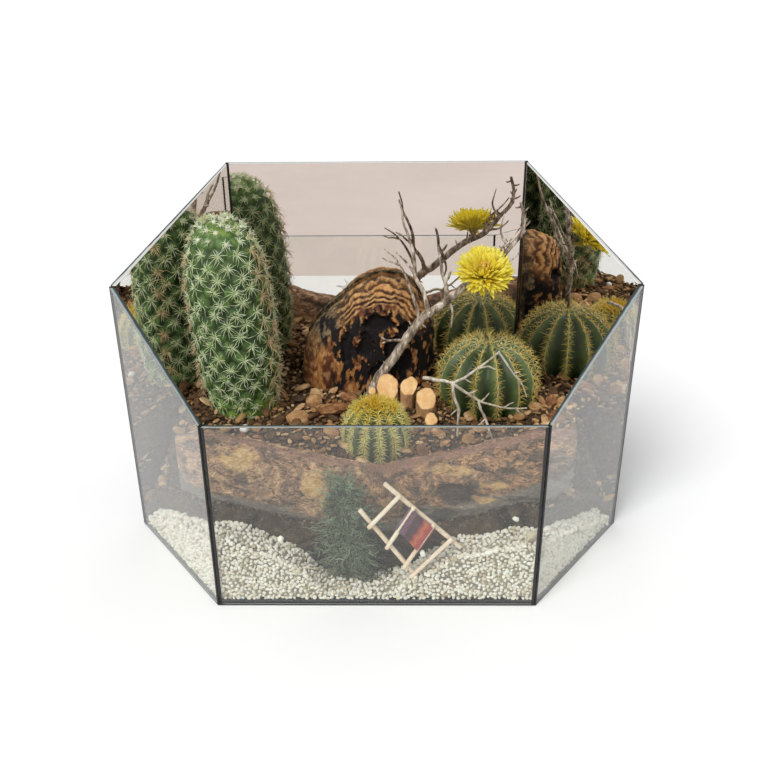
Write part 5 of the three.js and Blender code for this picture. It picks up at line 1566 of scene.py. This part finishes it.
def makeCloth(ends):
    # One piece of cloth: wrapped round the second rung, stretched down and wrapped round the third.
    (a2, b2), (a3, b3) = ends[1], ends[2]
    radius = ladder["clothRadius"]
    bm = bmesh.new()
    bmesh.ops.create_grid(bm, x_segments=36, y_segments=60, size=0.5)
    layer = bm.loops.layers.uv.new("weave")
    for face in bm.faces:
        for loop in face.loops:
            loop[layer].uv = (loop.vert.co.x + 0.5, loop.vert.co.y + 0.5)
    wrap = ladder["wrapShare"]  # of the length, wound on each rung
    turns = math.radians(ladder["wrapTurn"])
    for vert in bm.verts:
        s, t = vert.co.x + 0.5, vert.co.y + 0.5
        k = blend(*ladder["cloth"], s)
        upper, lower = a2.lerp(b2, k), a3.lerp(b3, k)
        down = (lower - upper).normalized()
        out = (b2 - a2).normalized().cross(down).normalized()
        out = out if out.y < 0 else -out
        if t < wrap:
            angle = math.pi / 2 + (1 - t / wrap) * turns
            vert.co = upper + (out * math.sin(angle) + down * -math.cos(angle)) * radius
        elif t > 1 - wrap:
            angle = math.pi / 2 + (1 - (1 - t) / wrap) * turns
            vert.co = lower + (out * math.sin(angle) + down * math.cos(angle)) * radius
        else:
            m = (t - wrap) / (1 - 2 * wrap)
            sag = ladder["clothSag"] * math.sin(math.pi * m) + 0.12 * math.sin(s * 19 + m * 5)
            vert.co = upper.lerp(lower, m) + out * (radius - sag)
    piece = finishPiece(bm, "ladder_cloth_weave", [wovenCloth()], "woven_cloth", ["ladder_cloth"])
    thick = piece.modifiers.new("yarn", "SOLIDIFY")
    thick.thickness, thick.offset = ladder["clothThickness"] * mm, 0


makeCloth(makeLadder())
print("ladder is made")


# Floor, light and what the mirrors see
studio = {"floor": "#f6f6f5", "floorSize": 6000, "sun": 2.2, "sunAngle": 28, "sunTurn": (38, 0, -35),
          "sky": 0.62, "clothNear": -328, "clothFar": -1800, "clothWide": 1500}  # mm, degrees


def makeStudio():
    scene = bpy.context.scene
    scene.view_settings.view_transform = "Standard"
    scene.cycles.max_bounces, scene.cycles.glossy_bounces = 20, 14  # three mirrors face one another
    scene.cycles.diffuse_bounces = 8  # light gets in between the petals and grains
    scene.cycles.transmission_bounces, scene.cycles.transparent_max_bounces = 20, 24
    world = bpy.data.worlds.new("studioSky")
    world.use_nodes = True
    world.node_tree.nodes["Background"].inputs["Color"].default_value = tone("#fdfdff")
    world.node_tree.nodes["Background"].inputs["Strength"].default_value = studio["sky"]
    scene.world = world
    light = bpy.data.lights.new("softSun", "SUN")
    light.energy, light.angle = studio["sun"], math.radians(studio["sunAngle"])
    lamp = bpy.data.objects.new("softSun", light)
    lamp.rotation_euler = [math.radians(k) for k in studio["sunTurn"]]
    scene.collection.objects.link(lamp)

    paper = natural("studioPaper", [(0.3, "#f3f3f2"), (0.7, studio["floor"])], 600, 40, 0.9, 0.0,
                    contrast=0.004)
    bm = bmesh.new()
    bmesh.ops.create_grid(bm, x_segments=2, y_segments=2, size=studio["floorSize"])
    bmesh.ops.translate(bm, vec=(0, 0, -0.05), verts=bm.verts)
    stageCard(bm, "studioFloor", paper)

    cloth = natural("pinkishBackcloth", [(0.3, "#d6c8c1"), (0.7, "#e2d6cf")], 300, 30, 0.95, 0.0,
                    contrast=0.02)
    bm = bmesh.new()
    bmesh.ops.create_grid(bm, x_segments=2, y_segments=2, size=1)
    near, far = studio["clothNear"], studio["clothFar"]
    for vert in bm.verts:
        vert.co = Vector((vert.co.x * studio["clothWide"], blend(far, near, (vert.co.y + 1) / 2), 0.4))
    card = stageCard(bm, "mirrorSideCloth", cloth)
    card.visible_camera = card.visible_shadow = card.visible_diffuse = False


def stageCard(bm, name, material):
    made = asObject(bm, name, [material])
    return made


makeStudio()
print("studio is set")
